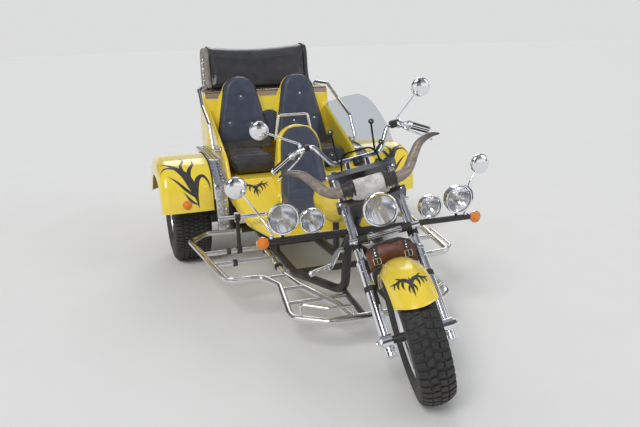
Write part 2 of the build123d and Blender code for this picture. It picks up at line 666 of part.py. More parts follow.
with BuildPart() as levers:
    for side in (-1, 1):
        sleeve((side * 262, -652.1, 1092), (side * 282, -651, 1089.8), 19, 12.8)
        rod([(side * 272, -668, 1090), (side * 276, -695, 1080), (side * 300, -715, 1062), (side * 430, -630, 960)], 10, 10)
save_turned(levers.part, "levers")

with BuildPart() as screen:
    with BuildSketch(Plane(origin=(0, -860, 960), x_dir=(1, 0, 0), z_dir=(0, -1, 0)).rotated((-18.6, 0, 0))):
        with BuildLine():
            Polyline((-190, 40), (-60, 0), (-60, 90), (60, 90), (60, 0), (190, 40), (150, 300), (80, 380), (-80, 380),
                     (-150, 300), close=True)
        make_face()
    extrude(amount=4)
save_turned(screen.part, "windscreen")
with BuildPart() as stays:
    for side in (-1, 1):
        for x, y, z in ((129, -825, 1065), (107, -789, 1172)):
            rod([(side * 101, -718.8, 992.4), (side * x, y + 4.5, z)], 10)
save_turned(stays.part, "screen_stays")

# The brake hose arches over the upper yoke between two fittings
hose_d, hose_bend = 10.0, 52.0
HOSE = [(-100, 0), (-88, 108), (92, 112), (116, 0)]      # x, height above the yoke
hose_foot = on_fork(neck_top + 5 + yoke_thick, 74)
with BuildPart() as hose:
    rod([hose_foot + Vector(x, 0, up + 8) for x, up in HOSE], hose_d, hose_bend)
    for x in (HOSE[0][0], HOSE[-1][0]):
        with BuildSketch(Plane(origin=hose_foot + Vector(x, 0, 0) + axis_dir * 0.2, z_dir=axis_dir)) as fitting:
            Circle(10)
        extrude(fitting.sketch, amount=16)
save_turned(hose.part, "brake_hose")

head_r = 84.0
head = on_fork(-402.8, 305.6)
with BuildPart() as headlamp:
    bowl((0, head.Y, head.Z), head_r, 140)
    rod([Vector(0, head.Y + 130, head.Z), on_fork(lower_yoke_along, yoke_front + 26),
         on_fork(lower_yoke_along, yoke_front + 0.2)], 24, 8)
save_turned(headlamp.part, "headlamp")

horn_y, horn_z = -985.0, 912.0
with BuildPart() as horn_mount:
    with BuildSketch(Plane.YZ.offset(-104)):
        with Locations((horn_y, horn_z)):
            Circle(42)
    extrude(amount=208)
save_turned(horn_mount.part, "horn_mount")

HORN = (                                 # x, y, z, radius
    (104.3, horn_y, horn_z, 32), (137, horn_y, horn_z, 32), (165, -965, 909, 31), (208, -928, 907, 27), (262, -885, 928, 23),
    (318, -860, 968, 17), (374, -850, 1012, 11), (420, -858, 1040, 4),
)
with BuildPart() as horns:
    for side in (-1, 1):
        for (x0, y0, z0, r0), (x1, y1, z1, r1) in zip(HORN, HORN[1:]):
            here, there = Vector(side * x0, y0, z0), Vector(side * x1, y1, z1)
            along = there - here
            cone = Plane(origin=here, z_dir=along)
            with BuildSketch(cone) as wide:
                Circle(r0)
            with BuildSketch(cone.offset(along.length)) as narrow:
                Circle(r1)
            loft([wide.sketch, narrow.sketch])
            if x1 < HORN[-1][0]:
                with Locations(there):
                    Sphere(r1)
save_turned(horns.part, "horns")

tool_roll_r, tool_roll_half, tool_roll_along = 62.0, 185.0, -530.0
roll_place = on_fork(tool_roll_along, leg_offset + upper_tube_r + tool_roll_r + gap)
with BuildPart() as tool_roll:
    with BuildSketch(Plane.YZ.offset(-tool_roll_half)):
        with Locations((roll_place.Y, roll_place.Z)):
            Circle(tool_roll_r)
    extrude(amount=2 * tool_roll_half)
save_turned(tool_roll.part, "tool_roll")

# Front fender: a crowned strip turned about the hub
fender_clear, fender_thick = 22.0, 4.0
fender_front, fender_rear = 50.0, 65.0   # degrees ahead of and behind the top
crown_top = front_r + fender_clear
with BuildPart() as front_fender:
    edge_r, edge_x = front_r - 30, front_half + 16
    with BuildSketch(Plane(origin=hub, x_dir=(1, 0, 0), z_dir=(0, -1, 0))) as crown:
        with BuildLine():
            ThreePointArc((-edge_x, edge_r), (0, crown_top), (edge_x, edge_r))
            Line((edge_x, edge_r), (edge_x + fender_thick, edge_r))
            ThreePointArc((edge_x + fender_thick, edge_r), (0, crown_top + fender_thick), (-edge_x - fender_thick, edge_r))
            Line((-edge_x - fender_thick, edge_r), (-edge_x, edge_r))
        make_face()
    revolve(crown.sketch, axis=Axis(hub, (1, 0, 0)), revolution_arc=fender_rear + fender_front)
front_arc = front_fender.part.rotate(Axis(hub, (1, 0, 0)), -fender_rear)
with BuildPart() as front_guard:
    add(front_arc)
    for side in (-1, 1):
        tab = on_fork(hub_along + 312, leg_offset)
        rod([(side * (front_half + 5), tab.Y, tab.Z), (side * (leg_spread - lower_tube_r - 0.2), tab.Y, tab.Z)], 16)
save_turned(front_guard.part, "front_fender")

# Front wheel
with BuildPart() as front_tyre:
    bead = front_half - 18
    ring_solid(
        [(-bead, front_rim_r + 0.1), (-front_half, front_r - front_shoulder), (front_half, front_r - front_shoulder),
         (bead, front_rim_r + 0.1)],
        {0: (-front_half - 6, front_r - 75), 1: (0, front_r), 2: (front_half + 6, front_r - 75)},
        hub,
    )
save_turned(front_tyre.part, "front_tyre")

with BuildPart() as front_rim:
    rim_half = front_half - 18
    ring_solid([(-rim_half, front_rim_r), (-rim_half, front_rim_r - 14), (-rim_half + 14, front_rim_r - 18),
                (rim_half - 14, front_rim_r - 18), (rim_half, front_rim_r - 14), (rim_half, front_rim_r)], {}, hub)
    bore_r = front_axle_r + running_gap
    ring_solid([(-front_hub_half, bore_r), (-front_hub_half, front_hub_r), (front_hub_half, front_hub_r),
                (front_hub_half, bore_r)], {}, hub)
    for k in range(spoke_count):
        side = 1 if k % 2 else -1
        spin = 360.0 * k / spoke_count
        out = Vector(0, sin(radians(spin)), cos(radians(spin)))
        foot = hub + out * (front_hub_r - 6) + Vector(side * (front_hub_half - 8), 0, 0)
        tip = hub + out * (front_rim_r - 10) + Vector(side * 12, 0, 0)
        rod([foot, tip], 2 * spoke_r)
save_turned(front_rim.part, "front_rim")

# Rear wheels
for label, side in SIDES:
    centre = Vector(side * wheel_x, rear_axle_y, rear_r)
    with BuildPart() as tyre:
        bead = rear_half - 22
        ring_solid(
            [(-bead, rear_rim_r + 0.1), (-rear_half, rear_r - 55), (-rear_half + 35, rear_r), (rear_half - 35, rear_r),
             (rear_half, rear_r - 55), (bead, rear_rim_r + 0.1)],
            {0: (-rear_half - 8, rear_r - 95), 1: (-rear_half + 10, rear_r - 15), 3: (rear_half - 10, rear_r - 15),
             4: (rear_half + 8, rear_r - 95)},
            centre,
        )
    save(tyre.part, f"rear_tyre_{label}")
    with BuildPart() as rim:
        rim_half = rear_half - 22
        ring_solid([(-rim_half, rear_rim_r), (-rim_half, rear_rim_r - 20), (-rim_half + 20, rear_rim_r - 26),
                    (rim_half - 20, rear_rim_r - 26), (rim_half, rear_rim_r - 20), (rim_half, rear_rim_r)], {}, centre)
        bore_r = spindle_r + running_gap
        inward = -side * 100
        ring_solid([(inward, bore_r), (inward, rear_hub_r), (side * 40, rear_hub_r), (side * 40, 20), (side * 25, 20),
                    (side * 25, bore_r)], {}, centre)
        ring_solid([(side * 5, rear_hub_r - 5), (side * 5, rear_rim_r - 22), (side * 21, rear_rim_r - 22),
                    (side * 21, rear_hub_r - 5)], {}, centre)
    save(rim.part, f"rear_rim_{label}")
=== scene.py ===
"""Motor trike: detailed pieces, finishes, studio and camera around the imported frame."""
import json

import bmesh
import bpy
import numpy as np
from mathutils import Matrix, Vector


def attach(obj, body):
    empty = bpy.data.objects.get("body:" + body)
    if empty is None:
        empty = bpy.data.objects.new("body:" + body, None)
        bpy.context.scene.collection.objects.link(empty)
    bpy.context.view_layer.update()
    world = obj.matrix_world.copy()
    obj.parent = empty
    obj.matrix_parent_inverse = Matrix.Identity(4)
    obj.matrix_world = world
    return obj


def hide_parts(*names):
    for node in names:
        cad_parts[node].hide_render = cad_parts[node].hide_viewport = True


bl_info = {
    "name": "Motor Trike",
    "version": (1, 0, 0),
    "blender": (4, 5, 0),
    "location": "3D View > Sidebar > Trike",
    "description": "Builds the pieces, finishes and studio of a three-seat motor trike",
    "category": "Object",
}

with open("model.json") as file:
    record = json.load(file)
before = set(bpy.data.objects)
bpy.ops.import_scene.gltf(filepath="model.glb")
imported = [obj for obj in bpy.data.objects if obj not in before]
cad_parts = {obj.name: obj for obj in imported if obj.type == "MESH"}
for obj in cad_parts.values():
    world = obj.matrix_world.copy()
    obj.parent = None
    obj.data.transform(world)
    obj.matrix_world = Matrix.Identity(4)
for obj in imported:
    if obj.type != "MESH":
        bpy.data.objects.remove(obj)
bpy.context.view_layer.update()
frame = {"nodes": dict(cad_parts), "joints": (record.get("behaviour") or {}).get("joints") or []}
NODES = frame["nodes"]
SIDES = (("right", -1.0), ("left", 1.0))
TAU = 2 * np.pi

# The fork's own directions at rest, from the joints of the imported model
JOINTS = {joint["name"]: joint for joint in frame["joints"]}
STEER_AT = np.array(JOINTS["steering"]["pos_m"])
STEER_UP = np.array(JOINTS["steering"]["axis"])
FORK_SIDE = np.array(JOINTS["front_wheel_spin"]["axis"])
FORK_AHEAD = np.cross(FORK_SIDE, STEER_UP)
STRAIGHT_AHEAD = np.array([0.0, -STEER_UP[2], STEER_UP[1]])
HUB = np.array(JOINTS["front_wheel_spin"]["pos_m"])


def turned(points):
    """Points drawn with the fork straight ahead, turned about the steering axis to the fork's place at
    rest."""
    away = np.asarray(points, float) - STEER_AT
    side, along, ahead = away[..., 0], away @ STEER_UP, away @ STRAIGHT_AHEAD
    sideways = side[..., None] * FORK_SIDE
    return STEER_AT + sideways + along[..., None] * STEER_UP + ahead[..., None] * FORK_AHEAD


def as_drawn(points):
    """Points left where they are."""
    return np.asarray(points, float)


def on_axle(centre, axis):
    """A function that carries points from a wheel's own axes, X along the axle, to its place."""
    axis = unit(axis)
    up = unit(np.array([0, 0, 1.0]) - axis[2] * axis)
    back = np.cross(up, axis)

    def place(points):
        points = np.asarray(points, float)
        return centre + points[..., :1] * axis + points[..., 1:2] * back + points[..., 2:] * up
    return place


def unit(v):
    """Each vector divided by its length."""
    v = np.asarray(v, float)
    return v / np.maximum(np.linalg.norm(v, axis=-1, keepdims=True), 1e-12)


def around(count):
    """Angles at equal steps round a full turn."""
    return np.linspace(0, TAU, count, endpoint=False)


def hoops(turn, across, other):
    """A ring of directions for each point of a line, by two directions square to it."""
    return np.cos(turn)[None, :, None] * across[:, None] + np.sin(turn)[None, :, None] * other[:, None]


def blunt(value, power):
    """A sine or cosine raised to a power with its sign kept: below 1 it makes a round outline squarer."""
    return np.sign(value) * np.abs(value) ** power


def heading(line):
    """The unit direction of a line at each of its points."""
    return unit(np.gradient(line, axis=0))


def run_along(line):
    """The distance along a line at each of its points."""
    return np.concatenate([[0], np.cumsum(np.linalg.norm(np.diff(line, axis=0), axis=1))])


def looped(line):
    """A closed line with its first two points again at its end."""
    return np.concatenate([line, line[:2]])


def strung(x, rows):
    """Outlines (y, z) set at their places along X."""
    return np.concatenate([np.broadcast_to(x[:, None, None], (*rows.shape[:2], 1)), rows], -1)


def smooth_line(points, count):
    """A curve through the points: each run is the cubic that leaves and meets its ends along their
    neighbours' chord."""
    points = np.asarray(points, float)
    ends = np.concatenate([[2 * points[0] - points[1]], points, [2 * points[-1] - points[-2]]])
    where = np.linspace(0, len(points) - 1 - 1e-9, count)
    i = where.astype(int)
    t = (where - i)[:, None]
    a, b, c, d = ends[i], ends[i + 1], ends[i + 2], ends[i + 3]
    return 0.5 * (2 * b + (c - a) * t + (2 * a - 5 * b + 4 * c - d) * t ** 2
                  + (3 * b - a - 3 * c + d) * t ** 3)


def even_line(points, count, closed=False):
    """The same line with its points at equal distances."""
    points = np.asarray(points, float)
    if closed:
        points = np.concatenate([points, points[:1]])
    run = run_along(points)
    where = np.linspace(0, run[-1], count + 1 if closed else count)
    line = np.stack([np.interp(where, run, points[:, k]) for k in range(points.shape[1])], 1)
    return line[:-1] if closed else line


def rounded_outline(corners, radius, steps=6):
    """A closed outline whose corners are arcs: each corner's arc is a quadratic between points a
    radius away from it."""
    corners = np.asarray(corners, float)
    before, after = np.roll(corners, 1, 0), np.roll(corners, -1, 0)
    reach = np.minimum(radius, 0.48 * np.minimum(np.linalg.norm(before - corners, axis=1),
                                                 np.linalg.norm(after - corners, axis=1)))[:, None]
    a = corners + unit(before - corners) * reach
    b = corners + unit(after - corners) * reach
    t = np.linspace(0, 1, steps)[None, :, None]
    arcs = (1 - t) ** 2 * a[:, None] + 2 * t * (1 - t) * corners[:, None] + t ** 2 * b[:, None]
    return arcs.reshape(-1, corners.shape[1])


def ripple(points, size, seed, waves=7):
    """A smooth wandering value, -1 to 1: a sum of sines along seeded directions, with a wavelength
    near size."""
    random = np.random.default_rng(seed)
    ways = unit(random.normal(size=(waves, 3))) * (TAU / size * random.uniform(0.6, 1.5, (waves, 1)))
    shift = random.uniform(0, TAU, waves)
    return np.sin(points @ ways.T + shift).sum(-1) / waves * 1.6


def step_up(value, low, high):
    """0 below low, 1 above high, and an S-shaped rise between."""
    t = np.clip((value - low) / (high - low), 0, 1)
    return t * t * (3 - 2 * t)


class Form:
    """Grids of points gathered into one mesh."""

    def __init__(self, place=as_drawn):
        self.place, self.points, self.faces, self.values, self.count = place, [], [], [], 0

    def sheet(self, points, wrap_rows=False, wrap_cols=False, value=None):
        """A grid of points, rows by columns, joined by four-sided faces."""
        rows, cols = points.shape[:2]
        r = np.arange(rows if wrap_rows else rows - 1)[:, None]
        c = np.arange(cols if wrap_cols else cols - 1)[None, :]
        r1, c1 = (r + 1) % rows, (c + 1) % cols
        quads = np.stack([r * cols + c, r * cols + c1, r1 * cols + c1, r1 * cols + c], -1).reshape(-1, 4)
        self.points.append(self.place(points).reshape(-1, 3))
        self.faces.append(quads + self.count)
        self.values.append(np.ones(rows * cols) if value is None else np.asarray(value, float).reshape(-1))
        self.count += rows * cols

    def copies(self, points):
        """Many small grids of one size, copies by rows by columns, each closed round its columns."""
        many, rows, cols = points.shape[:3]
        r, c = np.arange(rows - 1)[:, None], np.arange(cols)[None, :]
        c1 = (c + 1) % cols
        quads = np.stack([r * cols + c, r * cols + c1, (r + 1) * cols + c1, (r + 1) * cols + c],
                         -1).reshape(-1, 4)
        step = rows * cols
        self.points.append(self.place(points).reshape(-1, 3))
        self.faces.append((quads[None] + np.arange(many)[:, None, None] * step).reshape(-1, 4) + self.count)
        self.values.append(np.ones(many * step))
        self.count += many * step

    def slab(self, front, back, value=None):
        """Two grids of the same size with walls round their edges."""
        self.sheet(front, value=value)
        self.sheet(back, value=value)
        for rim in (np.s_[0], np.s_[-1], np.s_[:, 0], np.s_[:, -1]):
            edge = None if value is None else np.stack([value[rim], value[rim]])
            self.sheet(np.stack([front[rim], back[rim]]), value=edge)

    def tube(self, path, radius, sides=14, ends=0.35, start=0):
        """A round tube: circles square to the path, with domed ends (ends is their height over the
        radius)."""
        path = np.asarray(path, float)
        radius = np.broadcast_to(np.asarray(radius, float), len(path))
        along = heading(path)
        flat = np.linalg.svd(along, full_matrices=True)[2][2]
        across = unit(np.cross(along, flat))
        other = np.cross(along, across)
        dome = np.linspace(0, np.pi / 2, 5)[:-1]
        rise = ends * radius[0], ends * radius[-1]
        path = np.concatenate([path[0] - along[0] * rise[0] * np.cos(dome)[:, None], path,
                               path[-1] + along[-1] * rise[1] * np.cos(dome)[::-1, None]])
        radius = np.concatenate([radius[0] * np.sin(dome), radius, radius[-1] * np.sin(dome)[::-1]])
        across = np.concatenate([np.repeat(across[:1], 4, 0), across, np.repeat(across[-1:], 4, 0)])
        other = np.concatenate([np.repeat(other[:1], 4, 0), other, np.repeat(other[-1:], 4, 0)])
        turn = around(sides) + start
        ring = hoops(turn, across, other)
        self.sheet(path[:, None] + radius[:, None, None] * ring, wrap_cols=True)

    def lathe(self, profile, origin, axis, steps=48, wrap=False):
        """A profile of (along, radius) pairs turned about an axis."""
        profile = np.asarray(profile, float)
        axis = unit(axis)
        side = unit(np.cross(axis, [0.31, 0.22, 0.93] if abs(axis[2]) < 0.9 else [1, 0.1, 0]))
        other = np.cross(axis, side)
        turn = around(steps)
        ring = np.cos(turn)[:, None] * side + np.sin(turn)[:, None] * other
        points = np.asarray(origin, float) + profile[:, :1, None] * axis + profile[:, 1:, None] * ring[None]
        self.sheet(points, wrap_rows=wrap, wrap_cols=True)

    def pod(self, centre, half, power=0.45, rows=18, cols=28):
        """A rounded box: a ball whose cosines and sines are raised to a small power."""
        v = np.linspace(-np.pi / 2, np.pi / 2, rows)[:, None]
        u = around(cols)[None, :]
        level = blunt(np.cos(v), power)
        ball = np.stack([level * blunt(np.cos(u), power), level * blunt(np.sin(u), power),
                         blunt(np.sin(v), power) + 0 * u], -1)
        self.sheet(np.asarray(centre, float) + ball * np.asarray(half, float), wrap_cols=True)

    def loft(self, sections, cap=True):
        """Closed outlines of equal point counts joined in order, their ends closed to a middle point."""
        rows = [np.asarray(s, float) for s in sections]
        if cap:
            rows = [np.repeat(rows[0].mean(0)[None], len(rows[0]), 0)] + rows
            rows.append(np.repeat(rows[-1].mean(0)[None], len(rows[-1]), 0))
        self.sheet(np.stack(rows), wrap_cols=True)


def piece(name, form, finish, body, replaces=(), sharp=35.0, merge=2e-5, turn_out=True):
    """A mesh object at the origin from a form: doubles merged, faces turned outwards, finish and body set."""
    mesh = bpy.data.meshes.new(name)
    points = np.concatenate(form.points)
    mesh.from_pydata(points.tolist(), [], np.concatenate(form.faces).tolist())
    field = mesh.attributes.new("field", "FLOAT", "POINT")
    field.data.foreach_set("value", np.concatenate(form.values).astype(np.float32))
    work = bmesh.new()
    work.from_mesh(mesh)
    bmesh.ops.remove_doubles(work, verts=work.verts, dist=merge)
    bmesh.ops.dissolve_degenerate(work, edges=work.edges, dist=1e-6)
    if turn_out:
        bmesh.ops.recalc_face_normals(work, faces=work.faces)
    work.to_mesh(mesh)
    work.free()
    return dressed(name, mesh, finish, body, replaces, sharp)


def dressed(name, mesh, finish, body, replaces=(), sharp=35.0):
    """An object of the mesh with its finish, body and the nodes it stands for."""
    mesh.shade_smooth()
    if sharp:
        mesh.set_sharp_from_angle(angle=np.radians(sharp))
    mesh.materials.clear()
    mesh.materials.append(finish_of(finish))
    thing = bpy.data.objects.new(name, mesh)
    bpy.context.scene.collection.objects.link(thing)
    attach(thing, body)
    if replaces:
        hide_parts(*replaces)
    return thing


def settled(thing):
    """The object's modifiers worked into its mesh."""
    state = bpy.context.evaluated_depsgraph_get()
    mesh = bpy.data.meshes.new_from_object(thing.evaluated_get(state))
    thing.modifiers.clear()
    thing.data = mesh
    return thing


def node_copy(node):
    """A merged copy of a carried-over node's mesh, as points and a mesh."""
    mesh = NODES[node].data.copy()
    work = bmesh.new()
    work.from_mesh(mesh)
    bmesh.ops.remove_doubles(work, verts=work.verts, dist=1e-5)
    work.to_mesh(mesh)
    work.free()
    return mesh


def moulded(name, node, finish, body, voxel, relax):
    """A node's form as moulded resin: an even skin of small squares, relaxed so that its edges become
    soft corners."""
    thing = dressed(name, node_copy(node), finish, body, (node,), sharp=0)
    skin = thing.modifiers.new("skin", "REMESH")
    skin.mode = "VOXEL"
    skin.voxel_size = voxel
    skin.use_smooth_shade = True
    ease = thing.modifiers.new("ease", "SMOOTH")
    ease.factor = 0.5
    ease.iterations = relax
    settled(thing)
    thing.data.shade_smooth()
    return thing


def swollen(thing, pressure, reach, voxel=0.006):
    """The piece puffed up as stuffing does: an even skin swelled as cloth, no point moved further than
    reach."""
    skin = thing.modifiers.new("skin", "REMESH")
    skin.mode = "VOXEL"
    skin.voxel_size = voxel
    settled(thing)
    before = np.empty(len(thing.data.vertices) * 3)
    thing.data.vertices.foreach_get("co", before)
    cloth = thing.modifiers.new("stuffing", "CLOTH")
    cloth.settings.use_pressure = True
    cloth.settings.uniform_pressure_force = pressure
    cloth.settings.effector_weights.gravity = 0
    cloth.settings.quality = 4
    cloth.settings.tension_stiffness = 30
    scene = bpy.context.scene
    for at in range(1, 21):
        scene.frame_set(at)
    settled(thing)
    after = np.empty(len(thing.data.vertices) * 3)
    thing.data.vertices.foreach_get("co", after)
    shift = (after - before).reshape(-1, 3)
    far = np.maximum(np.linalg.norm(shift, axis=1, keepdims=True), 1e-9)
    thing.data.vertices.foreach_set("co",
                                    (before.reshape(-1, 3) + shift * np.minimum(1, reach / far)).ravel())
    scene.frame_set(1)
    thing.data.shade_smooth()
    return thing


# Shader trees


def add(tree, kind, inputs=(), **settings):
    """A new node with its settings, and values or links in its inputs."""
    node = tree.nodes.new("ShaderNode" + kind)
    for key, value in settings.items():
        setattr(node, key, value)
    for key, value in dict(inputs).items():
        if isinstance(value, bpy.types.NodeSocket):
            tree.links.new(value, node.inputs[key])
        else:
            node.inputs[key].default_value = value
    return node


def calc(tree, operation, *values, clamp=False):
    """The result of one sum on values or links."""
    return add(tree, "Math", dict(enumerate(values)), operation=operation, use_clamp=clamp).outputs[0]


def blend_colours(tree, factor, first, second, how="MIX"):
    """A mix of two colours."""
    return add(tree, "Mix", {0: factor, 6: first, 7: second}, data_type="RGBA", blend_type=how).outputs[2]


def between(tree, value, low, high, to_low=0.0, to_high=1.0):
    """A value carried from one span to another, held at its ends."""
    return add(tree, "MapRange", {0: value, 1: low, 2: high, 3: to_low, 4: to_high}).outputs[0]


def noise(tree, at, scale, detail=3.0, rough=0.5, stretch=(1, 1, 1)):
    """A soft noise on the given coordinates, stretched along an axis where asked."""
    if stretch != (1, 1, 1):
        at = add(tree, "Mapping", {"Vector": at, "Scale": stretch}).outputs[0]
    return add(tree, "TexNoise", {"Vector": at, "Scale": scale, "Detail": detail,
                                  "Roughness": rough}).outputs[0]


def effect(name, inputs, outputs):
    """A new shared node group with named inputs and outputs."""
    tree = bpy.data.node_groups.new(name, "ShaderNodeTree")
    for label, kind, value in inputs:
        tree.interface.new_socket(label, in_out="INPUT",
                                  socket_type="NodeSocket" + kind).default_value = value
    for label, kind in outputs:
        tree.interface.new_socket(label, in_out="OUTPUT", socket_type="NodeSocket" + kind)
    return tree, tree.nodes.new("NodeGroupInput").outputs, tree.nodes.new("NodeGroupOutput").inputs


def give(tree, socket, value):
    """A link to a group's output."""
    tree.links.new(value, socket)


def make_dust():
    """Dust: thicker on faces that look up and near the ground, broken up by two sizes of noise."""
    tree, given, out = effect("Dust", [
        ("Colour", "Color", (0.5, 0.5, 0.5, 1)), ("Dust colour", "Color", (0.45, 0.38, 0.3, 1)),
        ("Amount", "Float", 0.3), ("Low line", "Float", 0.5)], [("Colour", "Color"), ("Mask", "Float")])
    at = add(tree, "TexCoord").outputs["Object"]
    facing = add(tree, "SeparateXYZ", {0: add(tree, "NewGeometry").outputs["Normal"]}).outputs[2]
    height = add(tree, "SeparateXYZ", {0: at}).outputs[2]
    low = calc(tree, "SUBTRACT", 1.0, calc(tree, "DIVIDE", height, given["Low line"]), clamp=True)
    patches = between(tree, noise(tree, at, 9.0, 6.0, 0.65), 0.35, 0.7)
    specks = between(tree, noise(tree, at, 160.0, 2.0), 0.45, 0.75)
    broken = calc(tree, "MULTIPLY_ADD", specks, 0.4, calc(tree, "MULTIPLY", patches, 0.6))
    place = calc(tree, "MAXIMUM", calc(tree, "MULTIPLY", between(tree, facing, 0.2, 1.0), 0.55), low)
    mask = calc(tree, "MULTIPLY", calc(tree, "MULTIPLY", broken, place), given["Amount"], clamp=True)
    give(tree, out["Colour"], blend_colours(tree, mask, given["Colour"], given["Dust colour"]))
    give(tree, out["Mask"], mask)


def make_grain():
    """Leather grain: cells of two sizes with soft creases between them."""
    tree, given, out = effect("Leather grain", [("Scale", "Float", 400.0)],
                              [("Height", "Float"), ("Tone", "Float")])
    at = add(tree, "TexCoord").outputs["Object"]
    warp = add(tree, "Mix", {0: 0.004, 4: at,
                             5: add(tree, "TexNoise", {"Vector": at, "Scale": 60.0}).outputs[1]},
               data_type="VECTOR").outputs[1]
    cells = add(tree, "TexVoronoi", {"Vector": warp, "Scale": given["Scale"]},
                feature="SMOOTH_F1").outputs[0]
    fine = noise(tree, at, 900.0, 2.0)
    height = calc(tree, "MULTIPLY_ADD", fine, 0.25, calc(tree, "SUBTRACT", 1.0, cells))
    give(tree, out["Height"], height)
    give(tree, out["Tone"], between(tree, noise(tree, at, 14.0, 5.0, 0.6), 0.3, 0.7))


def make_marks():
    """Marks on polish: wiping streaks and soft smears that change the gloss."""
    tree, given, out = effect("Polish marks", [("Scale", "Float", 30.0)],
                              [("Smear", "Float"), ("Height", "Float")])
    at = add(tree, "TexCoord").outputs["Object"]
    smear = between(tree, noise(tree, at, 6.0, 5.0, 0.7), 0.35, 0.75)
    streaks = noise(tree, at, given["Scale"], 3.0, 0.6, (1, 7, 1))
    give(tree, out["Smear"], calc(tree, "MULTIPLY", smear, streaks))
    give(tree, out["Height"], noise(tree, at, 4.0, 1.0))


def make_orange_peel():
    """A sprayed or moulded gloss skin: slow waves with a fine peel, and a slight drift of tone."""
    tree, given, out = effect("Gloss skin", [("Scale", "Float", 220.0)],
                              [("Height", "Float"), ("Tone", "Float")])
    at = add(tree, "TexCoord").outputs["Object"]
    peel = noise(tree, at, given["Scale"], 1.0)
    waves = noise(tree, at, 7.0, 2.0)
    give(tree, out["Height"], calc(tree, "MULTIPLY_ADD", peel, 0.15, waves))
    give(tree, out["Tone"], noise(tree, at, 3.0, 3.0))


def group(tree, name, **inputs):
    """A shared group placed in a material with its own values."""
    node = tree.nodes.new("ShaderNodeGroup")
    node.node_tree = bpy.data.node_groups[name]
    for key, value in inputs.items():
        socket = node.inputs[key.replace("_", " ")]
        if isinstance(value, bpy.types.NodeSocket):
            tree.links.new(value, socket)
        else:
            socket.default_value = value
    return node.outputs


def colour4(colour):
    """A colour with its opacity."""
    return (*tuple(colour)[:3], 1.0)


def as_colour(value):
    """A link as it is, or a colour with its opacity."""
    return value if isinstance(value, bpy.types.NodeSocket) else colour4(value)


class Finish:
    """One material: its tree, its surface shader and short calls to set and bump it."""

    def __init__(self, name, colour, roughness, metallic=0.0, coat=0.0, ior=1.5):
        self.material = bpy.data.materials.new(name + "_finish")
        self.material.use_nodes = True
        self.tree = self.material.node_tree
        self.shader = self.tree.nodes["Principled BSDF"]
        self.put("Base Color", colour4(colour))
        self.put("Roughness", roughness)
        self.put("Metallic", metallic)
        self.put("Coat Weight", coat)
        self.put("IOR", ior)
        self.at = add(self.tree, "TexCoord").outputs["Object"]

    def noise(self, *values):
        """Noise over the piece: scale, detail, roughness and stretch."""
        return noise(self.tree, self.at, *values)

    def waves(self, scale, way):
        """Even bands across one direction."""
        return add(self.tree, "TexWave", {"Vector": self.at, "Scale": scale},
                   bands_direction=way).outputs[1]

    def between(self, *values):
        """A value taken from one range to another."""
        return between(self.tree, *values)

    def calc(self, *values):
        """One sum of values or links."""
        return calc(self.tree, *values)

    def group(self, name, **values):
        """A shared effect, placed with its own values."""
        return group(self.tree, name, **values)

    def mix(self, factor, *colours):
        """A mix of two colours, each given as numbers or as a link."""
        return blend_colours(self.tree, factor, *(as_colour(colour) for colour in colours))

    def put(self, socket, value):
        """Sets a shader input to a value, or links it."""
        if isinstance(value, bpy.types.NodeSocket):
            self.tree.links.new(value, self.shader.inputs[socket])
        else:
            self.shader.inputs[socket].default_value = value

    def bump(self, height, distance, strength=1.0):
        """Relief from a height, in metres at the full strength."""
        relief = add(self.tree, "Bump", {"Height": height, "Distance": distance, "Strength": strength})
        self.put("Normal", relief.outputs[0])

    def dusty(self, colour, amount, low=0.6, dust=(0.42, 0.35, 0.26), rough=(0.3, 0.8)):
        """Dust over the base colour, dulling the gloss where it lies."""
        dirt = self.group("Dust", Colour=as_colour(colour), Dust_colour=colour4(dust), Amount=amount,
                          Low_line=low)
        self.put("Base Color", dirt["Colour"])
        self.put("Roughness", self.between(dirt["Mask"], 0.0, 1.0, *rough))
        return dirt["Mask"]


def look():
    """The colours that a user may change."""
    return bpy.context.scene.trike_look


def gloss_yellow():
    """Yellow gloss: a drift of tone, a fine peel and dust low down."""
    make = Finish("yellow", look().body_yellow, 0.22, coat=0.6)
    skin = make.group("Gloss skin")
    tone = make.mix(make.between(skin["Tone"], 0.3, 0.7), look().body_yellow, look().body_yellow_shade)
    make.dusty(tone, 0.22, 0.7, rough=(0.2, 0.6))
    make.bump(skin["Height"], 0.0006, 0.35)
    make.put("Coat Roughness", 0.06)
    return make.material


def flame_film():
    """The painted shapes: satin dark grey with a cloudy tone and a dusty bloom."""
    make = Finish("flame_film", look().flame_grey, 0.4, coat=0.3)
    cloudy = make.between(make.noise(18.0, 5.0, 0.6), 0.3, 0.75)
    tone = make.mix(cloudy, look().flame_grey, (0.05, 0.05, 0.052))
    make.dusty(tone, 0.25, 0.7, rough=(0.35, 0.7))
    make.bump(make.noise(300.0, 2.0), 0.0003, 0.4)
    return make.material


def polished(name, colour, rough, dust):
    """Bright metal: smears and streaks in the gloss, slight waves, dust low down."""
    make = Finish(name, colour, rough, metallic=1.0)
    marks = make.group("Polish marks")
    dirt = make.dusty(colour, dust, 0.55, rough=(rough, 0.55))
    dull = make.calc("MULTIPLY_ADD", marks["Smear"], 0.16, make.between(dirt, 0.0, 1.0, rough, 0.6))
    make.put("Roughness", dull)
    make.put("Metallic", make.between(dirt, 0.2, 0.9, 1.0, 0.2))
    make.bump(marks["Height"], 0.0008, 0.2)
    return make.material


def chrome():
    """Plated chrome."""
    return polished("chrome", (0.86, 0.87, 0.90), 0.06, 0.15)


def yoke_metal():
    """Dark satin metal of the yokes."""
    return polished("yoke_metal", (0.22, 0.22, 0.24), 0.36, 0.3)


def tray_brown_reflection():
    """The tray's lip: brushed metal whose brown colour is a painted reflection."""
    return polished("tray_brown_reflection", (0.40, 0.29, 0.19), 0.24, 0.3)


